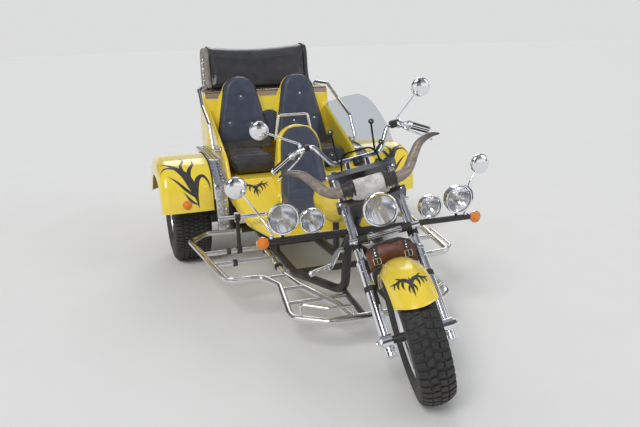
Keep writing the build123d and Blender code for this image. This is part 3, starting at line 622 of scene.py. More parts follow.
def stainless():
    """Polished stainless tube, a little softer and dustier than the chrome."""
    return polished("stainless", (0.76, 0.75, 0.73), 0.18, 0.22)


def satin_black():
    """Satin black frame paint with dust and small chips' tone."""
    make = Finish("black_frame", (0.018, 0.018, 0.02), 0.4)
    chips = make.between(make.noise(90.0, 4.0, 0.7), 0.7, 0.74)
    tone = make.mix(make.calc("MULTIPLY", chips, 0.5), (0.018, 0.018, 0.02), (0.12, 0.11, 0.1))
    make.dusty(tone, 0.26, 0.6, rough=(0.35, 0.8))
    make.bump(make.noise(350.0, 2.0), 0.0003, 0.4)
    return make.material


def vinyl(name, colour, scale, depth, rough=0.42, shine=0.15):
    """Upholstery vinyl: embossed grain, cloudy tone, fading on top faces."""
    make = Finish(name, colour, rough)
    grain = make.group("Leather grain", Scale=scale)
    lighter = tuple(min(1, c * 1.45 + 0.006) for c in tuple(colour)[:3])
    tone = make.mix(grain["Tone"], colour, lighter)
    make.dusty(tone, 0.22, 0.4, rough=(rough, 0.75))
    make.bump(grain["Height"], depth, 0.6)
    make.put("Sheen Weight", shine)
    make.put("Sheen Roughness", 0.4)
    return make.material


def brown_hide():
    """Worn brown leather: dark in its creases, rubbed pale and red-brown on the rounds, scratched."""
    make = Finish("brown_leather", look().leather_brown, 0.5)
    grain = make.group("Leather grain", Scale=260.0)
    worn = make.between(make.noise(22.0, 8.0, 0.72), 0.42, 0.68)
    tone = make.mix(worn, look().leather_brown, (0.19, 0.065, 0.040))
    scratch = make.between(make.noise(60.0, 4.0, 0.7, (1, 9, 2)), 0.64, 0.7)
    tone = make.mix(make.calc("MULTIPLY", scratch, 0.5), tone, (0.30, 0.16, 0.10))
    make.dusty(tone, 0.2, 0.4, rough=(0.42, 0.8))
    make.bump(grain["Height"], 0.0009, 0.7)
    return make.material


def horn_finish():
    """Polished horn: grey-brown layers that run along it, darker to the tips (the field runs from base
    to tip)."""
    make = Finish("horn", (0.1, 0.08, 0.07), 0.38, coat=0.15)
    field = add(make.tree, "Attribute", attribute_name="field").outputs["Fac"]
    layers = make.noise(26.0, 6.0, 0.65, (0.35, 1.6, 1.6))
    base = make.mix(make.between(layers, 0.35, 0.65), (0.36, 0.30, 0.255), (0.15, 0.122, 0.105))
    tip = make.between(field, 0.55, 0.95)
    tone = make.mix(tip, base, (0.055, 0.047, 0.043))
    make.put("Base Color", tone)
    make.bump(layers, 0.0012, 0.5)
    return make.material


def short_hair():
    """Short pale hair with grey patches, combed one way."""
    make = Finish("hide", (0.6, 0.58, 0.56), 0.8)
    hairs = make.noise(420.0, 3.0, 0.6, (1, 0.16, 1))
    patches = make.between(make.noise(16.0, 4.0, 0.6), 0.42, 0.6)
    tone = make.mix(patches, (0.66, 0.65, 0.63), (0.3, 0.29, 0.29))
    tone = make.mix(make.calc("MULTIPLY", hairs, 0.5), tone, (0.85, 0.84, 0.82))
    make.put("Base Color", tone)
    make.bump(hairs, 0.0016, 0.9)
    make.put("Sheen Weight", 0.3)
    return make.material


def rubber(name, colour=(0.017, 0.017, 0.019), dust=0.24, low=0.45):
    """Rubber: fine speckle and pale dust in the low places."""
    make = Finish(name, colour, 0.7)
    cloudy = make.noise(30.0, 6.0, 0.7)
    tone = make.mix(make.between(cloudy, 0.4, 0.7), colour, (0.034, 0.033, 0.034))
    make.dusty(tone, dust, low, dust=(0.3, 0.25, 0.19), rough=(0.62, 0.92))
    make.bump(make.noise(700.0, 3.0), 0.0004, 0.5)
    return make.material


def coloured_lens(name, colour):
    """A moulded lens: fine ribs under a clear gloss."""
    make = Finish(name, colour, 0.14, coat=0.8)
    ribs = make.waves(70.0, "X")
    rings = make.waves(70.0, "Z")
    deep = tuple(c * 0.7 for c in colour)
    make.put("Base Color", make.mix(make.calc("MULTIPLY", ribs, rings), colour, deep))
    make.bump(make.calc("ADD", ribs, rings), 0.0008, 0.5)
    make.put("Subsurface Weight", 0.25)
    make.put("Subsurface Scale", 0.01)
    return make.material


def clear_glass():
    """Lamp glass with pressed upright flutes."""
    make = Finish("lens", (0.97, 0.98, 1.0), 0.03, ior=1.40)
    make.put("Transmission Weight", 1.0)
    flutes = make.waves(38.0, "X")
    make.bump(flutes, 0.0010, 0.12)
    return make.material


def tinted_sheet():
    """Windscreen sheet: lightly smoked, with a haze of fine scratches."""
    make = Finish("screen", (0.66, 0.70, 0.74), 0.04, ior=1.14)
    make.put("Transmission Weight", 1.0)
    haze = make.noise(12.0, 6.0, 0.7)
    make.put("Roughness", make.between(haze, 0.3, 0.8, 0.02, 0.12))
    return make.material


def reflector():
    """The silvered bowl behind a lamp glass."""
    make = Finish("reflector", (0.97, 0.97, 1.0), 0.20, metallic=1.0)
    ribs = make.waves(14.0, "X")
    make.bump(ribs, 0.002, 0.24)
    make.put("Roughness", make.between(make.noise(40.0), 0.3, 0.7, 0.13, 0.27))
    return make.material


def bulb_glass():
    """A frosted bulb, a little yellowed towards its foot."""
    make = Finish("bulb", (0.85, 0.82, 0.72), 0.25, coat=0.5)
    cloudy = make.noise(60.0, 4.0, 0.6)
    make.put("Base Color", make.mix(cloudy, (0.9, 0.88, 0.8), (0.7, 0.62, 0.42)))
    return make.material


def mirror_glass():
    """Silvered mirror glass with faint smears."""
    make = Finish("mirror", (0.88, 0.89, 0.9), 0.02, metallic=1.0)
    make.put("Roughness", make.calc("MULTIPLY", make.group("Polish marks")["Smear"], 0.12))
    return make.material


def tread_metal():
    """Polished aluminium plate with scuffed roughness."""
    make = Finish("tread_plate", (0.66, 0.66, 0.68), 0.2, metallic=1.0)
    scuff = make.noise(45.0, 7.0, 0.75, (1, 3, 1))
    dirt = make.dusty((0.66, 0.66, 0.68), 0.35, 0.9)
    make.put("Roughness", make.calc("MULTIPLY_ADD", dirt, 0.4, make.between(scuff, 0.35, 0.7, 0.08, 0.3)))
    make.bump(scuff, 0.0004, 0.4)
    return make.material


def cast_metal():
    """Grey cast metal with an oily film and grime low down."""
    make = Finish("cast_metal", (0.32, 0.32, 0.33), 0.45, metallic=0.9)
    sand = make.noise(260.0, 5.0, 0.7)
    oily = make.between(make.noise(8.0, 6.0, 0.7), 0.4, 0.65)
    tone = make.mix(oily, (0.36, 0.36, 0.37), (0.12, 0.105, 0.09))
    make.dusty(tone, 0.6, 0.7, rough=(0.4, 0.85))
    make.bump(sand, 0.0008, 0.6)
    return make.material


def bare_board():
    """The roll's bare end: dull brown-grey board, streaked downwards where rain has run."""
    make = Finish("end_cap", (0.15, 0.135, 0.12), 0.75)
    streaks = make.between(make.noise(34.0, 5.0, 0.65, (1, 1, 0.12)), 0.35, 0.68)
    stain = make.mix(streaks, (0.34, 0.31, 0.28), (0.17, 0.150, 0.132))
    make.dusty(stain, 0.25, 0.4, rough=(0.7, 0.9))
    make.bump(make.noise(240.0, 4.0), 0.0005, 0.5)
    make.put("Specular IOR Level", 0.15)
    return make.material


def plain_plastic(name, colour, rough, depth=0.0004):
    """Moulded plastic with a fine spark texture and a slight fade."""
    make = Finish(name, colour, rough)
    fade = make.between(make.noise(11.0, 5.0, 0.6), 0.3, 0.75)
    paler = tuple(min(1, c * 1.25 + 0.01) for c in colour)
    make.dusty(make.mix(fade, colour, paler), 0.3, 0.5, rough=(rough, 0.8))
    make.bump(make.noise(500.0, 3.0), depth, 0.5)
    return make.material


FINISHES = {
    "yellow": gloss_yellow,
    "flame_film": flame_film,
    "chrome": chrome,
    "stainless": stainless,
    "tray_brown_reflection": tray_brown_reflection,
    "yoke_metal": yoke_metal,
    "black_frame": satin_black,
    "seat_vinyl": lambda: vinyl("seat_vinyl", look().seat_blue, 330.0, 0.0006),
    "cushion_vinyl": lambda: vinyl("cushion_vinyl", look().cushion_black, 300.0, 0.0005, 0.30, 0.1),
    "roll_vinyl": lambda: vinyl("roll_vinyl", look().roll_black, 300.0, 0.0007, 0.30, 0.15),
    "brown_leather": brown_hide,
    "black_leather": lambda: vinyl("black_leather", (0.02, 0.018, 0.017), 300.0, 0.0008, 0.45),
    "horn": horn_finish,
    "hide": short_hair,
    "tyre": lambda: rubber("tyre"),
    "rubber": lambda: rubber("rubber", (0.018, 0.018, 0.019), 0.2, 0.3),
    "amber": lambda: coloured_lens("amber", tuple(look().amber)),
    "red_lens": lambda: coloured_lens("red_lens", (0.42, 0.012, 0.01)),
    "lens": clear_glass,
    "screen": tinted_sheet,
    "reflector": reflector,
    "mirror": mirror_glass,
    "bulb": bulb_glass,
    "tread_plate": tread_metal,
    "cast_metal": cast_metal,
    "end_cap": bare_board,
    "plate": lambda: plain_plastic("plate", (0.78, 0.77, 0.72), 0.35, 0.0002),
    "black_plastic": lambda: plain_plastic("black_plastic", (0.02, 0.02, 0.021), 0.4),
}


MADE = {}


def finish_of(name):
    """The material of that name, made at its first use."""
    if name not in MADE:
        MADE[name] = FINISHES[name]()
    return MADE[name]


# The nodes that keep their own shape, with their finishes
KEPT = {
    "black_frame": ("chassis", "rear_axle", "lamp_bar", "screen_stays"),
    "chrome": ("rider_grab_bar", "grab_rail_right", "grab_rail_left", "exhausts", "rear_bumper",
               "fork_legs", "fork_brace", "handlebar"),
    "yoke_metal": ("fork_yokes",),
    "stainless": ("side_bar_right", "side_bar_left"),
    "rubber": ("brake_hose",),
}


def colour_property(name, text, value):
    """A colour that a user may change."""
    return bpy.props.FloatVectorProperty(name=name, description=text, subtype="COLOR", size=3, min=0, max=1,
                                         default=value)


class TrikeLook(bpy.types.PropertyGroup):
    """Colours of the trike."""
    body_yellow: colour_property("Body yellow", "Gel coat and paint", (0.91, 0.70, 0.048))
    body_yellow_shade: colour_property("Body yellow, deeper", "Slow drift of the yellow",
                                       (0.87, 0.64, 0.040))
    flame_grey: colour_property("Flame grey", "Painted flames", (0.018, 0.018, 0.02))
    seat_blue: colour_property("Seat vinyl", "Charcoal of the seats", (0.033, 0.042, 0.070))
    cushion_black: colour_property("Cushion vinyl", "Black of the cushions", (0.030, 0.030, 0.036))
    roll_black: colour_property("Roll vinyl", "Black of the luggage roll", (0.027, 0.028, 0.034))
    leather_brown: colour_property("Tool roll leather", "Brown leather", (0.085, 0.028, 0.017))
    amber: colour_property("Amber", "Turn signals", (0.90, 0.27, 0.015))
    backdrop: colour_property("Backdrop", "Floor and surroundings", (0.80, 0.80, 0.79))


# The seats


LEAN = np.radians(11.0)
BACK_FOOT = np.array([0.0, 1.090, 0.800])
# Across and up, on the right pad as on the left one
BUTTONS = ((0.237, 0.373), (0.171, 0.163), (0.341, 0.175))
PAD_LOW_HALF, PAD_TOP_HALF = 0.2015, 0.116
PAD_HEIGHT, PAD_ROUND, PAD_DEPTH, PAD_GROW = 0.5124, 0.110, 0.055, 0.0165
SIDE_UP = np.array([0.0, np.sin(LEAN), np.cos(LEAN)])
SIDE_OUT = np.array([0.0, -np.cos(LEAN), np.sin(LEAN)])


def on_seat_back(across, up, out):
    """A point of the leaning seat backs: across from the middle, up the back and out of its face."""
    across, up, out = np.broadcast_arrays(across, up, out)
    return BACK_FOOT + across[..., None] * [1.0, 0, 0] + up[..., None] * SIDE_UP + out[..., None] * SIDE_OUT


def rounded_edge(depth, radius):
    """How full a padded form is at a distance inside its edge: a quarter circle, then flat."""
    return np.sqrt(1 - (1 - np.clip(depth / radius, 0, 1)) ** 2)


def seat_back_pad(label, side):
    """A tombstone pad: widths run straight up to the shoulder and then round; its face is domed and
    buttoned."""
    crest = PAD_HEIGHT - PAD_ROUND
    top_round = PAD_ROUND + PAD_GROW
    up = np.concatenate([0.018 * (1 - np.cos(np.linspace(0, np.pi / 2, 7)))[:-1],
                         np.linspace(0.018, crest, 34), crest
                         + top_round * np.sin(np.linspace(0, np.pi / 2, 22))[1:]])
    lift = np.clip(up / crest, 0, 1)
    middle = 0.2335 * (1 - lift) + 0.232 * lift
    half = PAD_LOW_HALF * (1 - lift) + PAD_TOP_HALF * lift + PAD_GROW
    over = np.clip(up - crest, 0, top_round - 1e-6) / top_round
    half = np.where(up > crest, (PAD_TOP_HALF + PAD_GROW) * np.sqrt(1 - over ** 2), half)
    u = np.sin(np.linspace(-np.pi / 2, np.pi / 2, 46))[None, :]
    across = side * (middle[:, None] + half[:, None] * u)
    up = np.broadcast_to(up[:, None], across.shape)
    inside = np.minimum(half[:, None] * (1 - np.abs(u)), up + 0.004)
    inside = np.where(up > crest, top_round - np.hypot(half[:, None] * u, up - crest), inside)
    inside = np.clip(inside, 0, None)
    full = rounded_edge(inside, 0.034) * (PAD_DEPTH - 0.006) + 0.011 * np.clip(inside / 0.1, 0, 1) ** 0.7
    for x, z in BUTTONS:
        away = np.hypot(across * side - x, up - z)
        pull = np.arctan2(up - z, across * side - x)
        creases = 0.0016 * np.cos(5 * pull) * np.exp(-(away / 0.05) ** 2) * step_up(away, 0, 0.02)
        full -= 0.013 * np.exp(-(away / 0.017) ** 2) + creases
    full += 0.0012 * ripple(on_seat_back(across, up, 0 * up), 0.09, 3)
    form = Form()
    form.slab(on_seat_back(across, up, full - PAD_DEPTH), on_seat_back(across, up, 0 * full - PAD_DEPTH))
    pad = piece(f"seat_back_cover_{label}", form, "seat_vinyl", "frame",
                (f"seat_back_pad_{label}",), 50)
    buttons = Form()
    for x, z in BUTTONS:
        foot = on_seat_back(side * x, z, -0.0075)
        buttons.lathe([(-0.006, 0.0), (-0.006, 0.0095), (0.001, 0.0105), (0.005, 0.0075), (0.007, 0.0)],
                      foot, SIDE_OUT, 20)
    piece(f"seat_back_buttons_{label}", buttons, "chrome", "frame")
    seam = Form()
    rim = np.concatenate([np.stack([across[:, 0], up[:, 0]], 1),
                          np.stack([across[::-1, -1], up[::-1, -1]], 1)])
    rim = even_line(rim, 130)
    seam.tube(on_seat_back(rim[:, 0], rim[:, 1], -PAD_DEPTH + 0.012 + 0 * rim[:, 0]), 0.0034, 8)
    piece(f"seat_back_piping_{label}", seam, "black_leather", "frame")


def pillow(form, outline, start, end, rounding, count, shape=None):
    """A closed outline (y, z) carried along X and drawn in at both ends in a quarter circle."""
    outline = np.asarray(outline, float)
    e = 0.5 - 0.5 * np.cos(np.linspace(0, np.pi, count))
    x = start + (end - start) * e
    near = np.minimum(e, 1 - e) * abs(end - start)
    inset = rounding * (1 - rounded_edge(near, rounding))
    middle = (outline.max(0) + outline.min(0)) / 2
    half = (outline.max(0) - outline.min(0)) / 2
    shrink = 1 - inset[:, None] / half[None, :]
    rows = middle + (outline[None] - middle) * shrink[:, None, :]
    points = strung(x, rows)
    if shape:
        points = shape(points, e)
    form.loft(points)


# Side outlines (y, z) of a cushion and of the seams sewn round it
CUSHION = [(1.062, 0.657), (0.684, 0.655), (0.640, 0.680), (0.636, 0.748), (0.676, 0.786), (0.750, 0.788),
           (1.072, 0.778)]
CUSHION_SEAM = [(1.05, 0.655), (0.684, 0.653), (0.638, 0.680), (0.634, 0.750), (0.676, 0.7885),
                (0.747, 0.791), (0.760, 0.782), (0.773, 0.7925), (1.05, 0.786)]
CUSHION_SIDES = 0.117, 0.456


def seat_cushion(label, side):
    """A cushion with a rolled front, a sewn channel behind the roll and a crown; drawn in at its ends."""
    outline = even_line(rounded_outline(CUSHION, 0.055, 8), 96, closed=True)

    def shape(points, e):
        top = step_up(points[..., 2], 0.72, 0.775)
        crown = np.sin(np.pi * e)[:, None]
        points[..., 2] += top * (0.010 * crown
                                 * np.sin(np.pi * np.clip((points[..., 1] - 0.75) / 0.31, 0, 1)))
        points[..., 2] -= 0.012 * top * np.exp(-((points[..., 1] - 0.762) / 0.011) ** 2)
        points[..., 1] -= 0.006 * crown * step_up(-points[..., 1], -0.69, -0.65)
        points[..., 0] -= side * 0.070 * e[:, None] ** 2 * np.clip((0.815 - points[..., 2]) / 0.16, 0, 1)
        return points + 0.0011 * ripple(points, 0.07, 5)[..., None] * top[..., None] * [0, 0, 1]
    form = Form()
    pillow(form, outline, side * CUSHION_SIDES[0], side * CUSHION_SIDES[1], 0.035, 60, shape)
    cushion = piece(f"seat_cushion_cover_{label}", form, "cushion_vinyl", "frame",
                    (f"seat_cushion_{label}",), 60)
    swollen(cushion, 3.0, 0.006)
    seams = Form()
    for x in (0.150, 0.415):
        loop = even_line(rounded_outline(CUSHION_SEAM, 0.03, 6), 110, closed=True)
        seams.tube(np.column_stack([np.full(len(loop), side * x), loop]), 0.0022, 6)
    piece(f"seat_cushion_seams_{label}", seams, "black_leather", "frame")
    drop = np.linspace(0, 1, 14)[:, None]
    x = np.linspace(0.060, 0.452, 70)[None, :]
    wave = 0.005 * drop * np.sin(47 * x + 3 * drop) + 0.003 * np.sin(19 * x)
    cloth = np.stack([side * x + 0 * drop, 1.052 - 0.060 * drop ** 0.8 + wave,
                      0.838 - 0.042 * drop + 0.003 * drop * np.sin(31 * x)], -1)
    valance = Form()
    valance.slab(cloth, cloth + [0, 0.0025, 0.0012])
    piece(f"seat_valance_{label}", valance, "black_leather", "frame")


def centre_pad():
    """The small pad between the seat backs: a tapered shield with a rounded rim."""
    v = np.linspace(0, 1, 30)[:, None]
    u = np.sin(np.linspace(-np.pi / 2, np.pi / 2, 24))[None, :]
    half = 0.018 + 0.046 * v ** 0.8
    up = 0.03 + 0.236 * v - 0.026 * v * np.abs(u) ** 2.2
    inside = np.minimum(half * (1 - np.abs(u)), np.minimum(v, 1 - v) * 0.236)
    depth = 0.098
    full = 0.027 * rounded_edge(inside, 0.016) + 0.004 * (1 - u ** 2)
    form = Form()
    form.slab(on_seat_back(half * u, up, full - depth), on_seat_back(half * u, up, 0 * full - depth))
    pad = piece("centre_pad_cover", form, "seat_vinyl", "frame", ("centre_pad",), 50)


RIDER_FACE = [(0.428, 1.010), (0.408, 0.998), (0.378, 0.93), (0.318, 0.77), (0.258, 0.625), (0.232, 0.585),
              (0.19, 0.571), (0.08, 0.562), (-0.04, 0.553), (-0.090, 0.546), (-0.111, 0.525),
              (-0.108, 0.503)]
RIDER_BACK = [(0.440, 1.004), (0.448, 0.990), (0.430, 0.92), (0.388, 0.76), (0.345, 0.60), (0.318, 0.535),
              (0.285, 0.502), (0.16, 0.500), (0.02, 0.499), (-0.06, 0.498), (-0.09, 0.498), (-0.100, 0.500)]
RIDER_GROOVES = 0.22, 0.38, 0.56, 0.70
RIDER_HALF = [0.030, 0.078, 0.128, 0.148, 0.165, 0.172, 0.186, 0.218, 0.258, 0.275, 0.278, 0.278]


def rider_seat():
    """The rider's bucket: a back face and a front face joined across, wider towards its nose, with
    raised edges."""
    rows = 90
    face, back = smooth_line(RIDER_FACE, rows), smooth_line(RIDER_BACK, rows)
    half = smooth_line(np.array(RIDER_HALF)[:, None], rows)[:, 0]
    u = np.sin(np.linspace(-np.pi / 2, np.pi / 2, 50))[None, :]
    edge = rounded_edge((1 - np.abs(u)) * half[:, None], 0.03)[..., None]
    bolster = (0.014 * np.exp(-((np.abs(u) - 0.80) / 0.16) ** 2))[..., None]
    out = unit(face - back)[:, None]
    front = back[:, None] + (face - back)[:, None] * edge + out * bolster * edge
    groove = np.linspace(0, 1, rows)[:, None]
    for at in RIDER_GROOVES:
        channel = 0.005 * np.exp(-((groove - at) / 0.006) ** 2) * step_up(0.86 - np.abs(u), 0, 0.1)
        front -= out * channel[..., None]
    across = half[:, None] * u
    form = Form()
    form.slab(np.concatenate([across[..., None], front], -1),
              np.concatenate([across[..., None], np.broadcast_to(back[:, None], front.shape)], -1))
    seat = piece("rider_seat_cover", form, "seat_vinyl", "frame", ("rider_seat",), 55)
    trim = Form()
    keep = slice(0, 62)
    rim = np.concatenate([np.column_stack([-half[keep] - 0.004, back[keep]])[::-1],
                          np.column_stack([half[keep] + 0.004, back[keep]])])
    trim.tube(even_line(rim, 160) + [0, -0.012, 0.004], 0.0065, 10)
    piece("rider_seat_piping", trim, "yellow", "frame")


class TRIKE_OT_seats(bpy.types.Operator):
    """Passengers' pads and cushions, the small middle pad and the rider's bucket"""
    bl_idname = "trike.seats"
    bl_label = "Seats"

    def execute(self, context):
        for label, side in SIDES:
            seat_back_pad(label, side)
            seat_cushion(label, side)
        centre_pad()
        rider_seat()
        return {"FINISHED"}


# The yellow body, tank and fenders


def ribbons(form, surface, strokes, lift, mirror=False):
    """Painted tongues: each follows its line with the half widths given, laid on a surface(s, t) and
    lifted a little."""
    for stroke in strokes:
        stroke = np.asarray(stroke, float)
        line = smooth_line(stroke, 8 * len(stroke))
        half = np.clip(line[:, 2], 0.0002, None)
        way = unit(np.gradient(line[:, :2], axis=0))
        side = np.stack([-way[:, 1], way[:, 0]], 1)
        offset = np.linspace(-1, 1, 5)[None, :, None] * half[:, None, None] * side[:, None]
        for sign in ((1, -1) if mirror else (1,)):
            grid = line[:, None, :2] + offset
            across = grid[..., 1] * sign
            top = surface(grid[..., 0], across, lift)
            low = surface(grid[..., 0], across, lift - 0.0006)
            form.slab(top, low)


# Each tongue: along the fender, across it, half width
FLAME = [
    [(0.02, 0.105, 0.0), (0.10, 0.118, 0.012), (0.18, 0.142, 0.026), (0.25, 0.172, 0.027),
     (0.31, 0.215, 0.02), (0.37, 0.268, 0.013), (0.41, 0.33, 0.0)],
    [(0.11, 0.128, 0.008), (0.16, 0.185, 0.010), (0.225, 0.245, 0.006), (0.27, 0.30, 0.0)],
    [(0.07, 0.112, 0.004), (0.15, 0.116, 0.015), (0.225, 0.100, 0.016), (0.250, 0.062, 0.011),
     (0.205, 0.030, 0.006), (0.13, 0.018, 0.0)],
    [(0.22, 0.158, 0.014), (0.30, 0.148, 0.014), (0.37, 0.115, 0.008), (0.44, 0.112, 0.0)],
    [(0.045, 0.108, 0.002), (0.085, 0.160, 0.009), (0.15, 0.205, 0.0)],
    [(0.28, 0.190, 0.012), (0.36, 0.198, 0.010), (0.44, 0.172, 0.006), (0.52, 0.19, 0.0)],
    [(0.33, 0.235, 0.008), (0.345, 0.30, 0.008), (0.30, 0.355, 0.0)],
]
# The small winged flourish: up, across from its middle, half width
MOTIF = [
    [(0.006, 0.002, 0.0060), (0.026, 0.018, 0.0090), (0.036, 0.042, 0.0078), (0.035, 0.066, 0.0055),
     (0.050, 0.093, 0.0)],
    [(0.031, 0.030, 0.0062), (0.010, 0.040, 0.0050), (-0.016, 0.037, 0.0)],
    [(0.034, 0.052, 0.0052), (0.016, 0.061, 0.0040), (-0.002, 0.060, 0.0)],
    [(0.035, 0.070, 0.0035), (0.024, 0.079, 0.0028), (0.013, 0.080, 0.0)],
    [(0.036, 0.040, 0.0042), (0.050, 0.050, 0.0030), (0.058, 0.064, 0.0)],
    [(0.040, 0.0, 0.0), (0.022, 0.0, 0.0055), (-0.006, 0.0, 0.0066), (-0.030, 0.0, 0.0044),
     (-0.056, 0.0, 0.0)],
    [(0.002, 0.005, 0.0050), (-0.016, 0.017, 0.0040), (-0.038, 0.016, 0.0)],
]


def shell(form, grid, thickness, value=None):
    """A surface given thickness: a second grid inwards along the first one's normals."""
    normal = unit(np.cross(np.gradient(grid, axis=0), np.gradient(grid, axis=1)))
    form.slab(grid, grid - normal * thickness, value)


FENDER_LINE = [(0.529, 0.455), (0.536, 0.55), (0.562, 0.645), (0.63, 0.728), (0.74, 0.770), (0.87, 0.783),
               (1.00, 0.782), (1.13, 0.757), (1.265, 0.695), (1.357, 0.605), (1.398, 0.50), (1.402, 0.455)]
FENDER_IN, FENDER_OUT, FENDER_SHOULDER, FENDER_SKIRT = 0.5925, 0.9485, 0.060, 0.075


def fender_surface(s, t, lift=0.0, side=1.0):
    """The rear fender: s along its side outline, t across from the inner edge; past the flat it rounds
    over and hangs."""
    s, t = np.broadcast_arrays(s, t)
    line = even_line(smooth_line(FENDER_LINE, 200), 400)
    run = run_along(line)
    y, z = np.interp(s, run, line[:, 0]), np.interp(s, run, line[:, 1])
    way = heading(line)
    dy, dz = np.interp(s, run, way[:, 0]), np.interp(s, run, way[:, 1])
    inward = np.stack([dz, -dy], -1)
    inward = inward / np.linalg.norm(inward, axis=-1, keepdims=True)
    flat = FENDER_OUT - FENDER_IN - FENDER_SHOULDER
    bend = np.clip((t - flat) / FENDER_SHOULDER, 0, np.pi / 2)
    hang = np.clip(t - flat - FENDER_SHOULDER * np.pi / 2, 0, None)
    x = FENDER_IN + np.minimum(t, flat) + (FENDER_SHOULDER + lift) * np.sin(bend)
    drop = FENDER_SHOULDER - (FENDER_SHOULDER + lift) * np.cos(bend) + hang
    return np.stack([side * x, y + inward[..., 0] * drop, z + inward[..., 1] * drop], -1)


def rear_fender(label, side):
    """The fender's skin, its inner wall, the rolled lip and the painted flames."""
    length = np.linalg.norm(np.diff(even_line(smooth_line(FENDER_LINE, 200), 400), axis=0), axis=1).sum()
    flat = FENDER_OUT - FENDER_IN - FENDER_SHOULDER
    reach = flat + FENDER_SHOULDER * np.pi / 2 + FENDER_SKIRT
    s = np.linspace(0, length, 120)[:, None]
    t = np.linspace(0, 1, 70)[None, :] * reach
    low = step_up(np.minimum(s, length - s), 0.0, 0.13)
    t = np.minimum(t, reach - (1 - low) * (FENDER_SKIRT - 0.004) * np.ones_like(t))
    form = Form()
    shell(form, fender_surface(s, t, 0, side), -0.005 if side > 0 else 0.005)
    wall_s = np.linspace(0, length, 90)[:, None]
    edge = fender_surface(wall_s, np.zeros((1, 1)), 0, side)[:, 0]
    depth = np.linspace(0, 1, 14)[None, :, None]
    foot = np.stack([np.full(90, side * FENDER_IN), edge[:, 1], np.full(90, FENDER_LINE[0][1])], -1)
    inner = edge[:, None] * (1 - depth) + foot[:, None] * depth
    form.slab(inner, inner + [side * 0.006, 0, 0])
    piece(f"rear_fender_skin_{label}", form, "yellow", "frame", (f"rear_fender_{label}",),
          40)
    flames = Form()
    ribbons(flames, lambda a, b, lift: fender_surface(a, b, lift, side), FLAME, 0.0012)
    piece(f"rear_fender_flames_{label}", flames, "flame_film", "frame")
    lip = Form()
    line = fender_surface(np.linspace(0.0, length, 90), np.zeros(90), 0, side)
    lip.tube(line + [0, 0, 0.002], 0.005, 8)
    piece(f"rear_fender_bead_{label}", lip, "rubber", "frame")


TANK = [(-0.173, 0.030, 0.635, 0.695), (-0.186, 0.080, 0.590, 0.735), (-0.215, 0.112, 0.553, 0.762),
        (-0.290, 0.132, 0.532, 0.788), (-0.38, 0.132, 0.540, 0.812), (-0.48, 0.121, 0.574, 0.834),
        (-0.57, 0.086, 0.638, 0.850), (-0.625, 0.055, 0.700, 0.857),
        (-0.640, 0.018, 0.750, 0.838)]


def fuel_tank():
    """The tank: rounded sections strung along the frame; each is a superellipse, fuller above."""
    rows = smooth_line(TANK, 70)
    turn = around(56)
    bend = blunt(np.cos(turn), 0.82), blunt(np.sin(turn), 0.82)
    sections = [np.column_stack([half * bend[0] * (1 - 0.12 * (bend[1] < 0) * np.abs(bend[1])),
                                 np.full(56, y), (low + high) / 2 + (high - low) / 2 * bend[1]]) for y,
                half, low, high in rows]
    form = Form()
    form.loft(sections)
    piece("fuel_tank_skin", form, "yellow", "frame", ("fuel_tank",), 0)
    trim = Form()
    at, up = np.array([0.0, -0.262, 0.7775]), unit([0, -0.20, 1.0])
    trim.lathe([(-0.006, 0.0), (-0.006, 0.046), (0.002, 0.046), (0.005, 0.042), (0.005, 0.038),
                (0.016, 0.037), (0.020, 0.033), (0.022, 0.014), (0.024, 0.012), (0.024, 0.0)], at, up, 60)
    piece("tank_cap_trim", trim, "chrome", "frame", ("tank_cap",), 30)
    lock = Form()
    lock.lathe([(0, 0.0), (0, 0.014), (0.006, 0.014), (0.008, 0.010), (0.003, 0.008), (0.003, 0.0)],
               (-0.050, -0.185, 0.690), (-0.35, 1.0, 0.25), 28)
    piece("tank_lock", lock, "chrome", "frame")


FRONT_R, FRONT_HALF = 0.325, 0.075
FRONT_FENDER_HALF = FRONT_HALF + 0.018
# The front fender's ends, as angles ahead of the wheel's top
FENDER_TIP, FENDER_TAIL = 0.80, -1.13


def front_fender_surface(s, t, lift=0.0):
    """The front fender in the wheel's own axes: s is the arc ahead of its top, t across; a crowned
    band round the hub."""
    s, t = np.broadcast_arrays(s, t)
    round_in = 0.056 * np.abs(t / FRONT_FENDER_HALF) ** 2.6
    radius = FRONT_R + 0.0255 + lift - round_in
    angle = s / FRONT_R
    return np.stack([t * (1 + 0.03 * (lift > 0)), -np.sin(angle) * radius, np.cos(angle) * radius], -1)


def front_fender():
    """The front fender: its band ends ahead in a round tip; the winged motif is painted on the tip."""
    place = on_axle(HUB, FORK_SIDE)
    u = np.linspace(-1, 1, 61)[None, :]
    tip = FENDER_TIP * FRONT_R * (1 - 0.16 * np.abs(u) ** 2.4)
    tail = FENDER_TAIL * FRONT_R * (1 - 0.05 * np.abs(u) ** 3)
    v = np.linspace(0, 1, 110)[:, None]
    form = Form(place)
    grid = front_fender_surface(tail + (tip - tail) * v, FRONT_FENDER_HALF * u)
    shell(form, grid, 0.0035)
    piece("front_fender_skin", form, "yellow", "fork", ("front_fender",), 40)
    motif = Form(place)
    strokes = [[(0.160 - 1.05 * x, y * 0.86, w) for x, y, w in stroke] for stroke in MOTIF]
    ribbons(motif, front_fender_surface, strokes, 0.0012, mirror=True)
    piece("front_fender_motif", motif, "flame_film", "fork")
    rim = Form(place)
    for rows in (np.s_[:, 0], np.s_[:, -1]):
        rim.tube(grid[rows], 0.0042, 8)
    rim.tube(grid[-1], 0.0042, 8)
    piece("front_fender_bead", rim, "yellow", "fork")


# The middle of the flourish on the sloping panel, and the panel's slope
PANEL_AT, PANEL_SLOPE = (0.317, 0.430, 0.5956), np.radians(28.55)


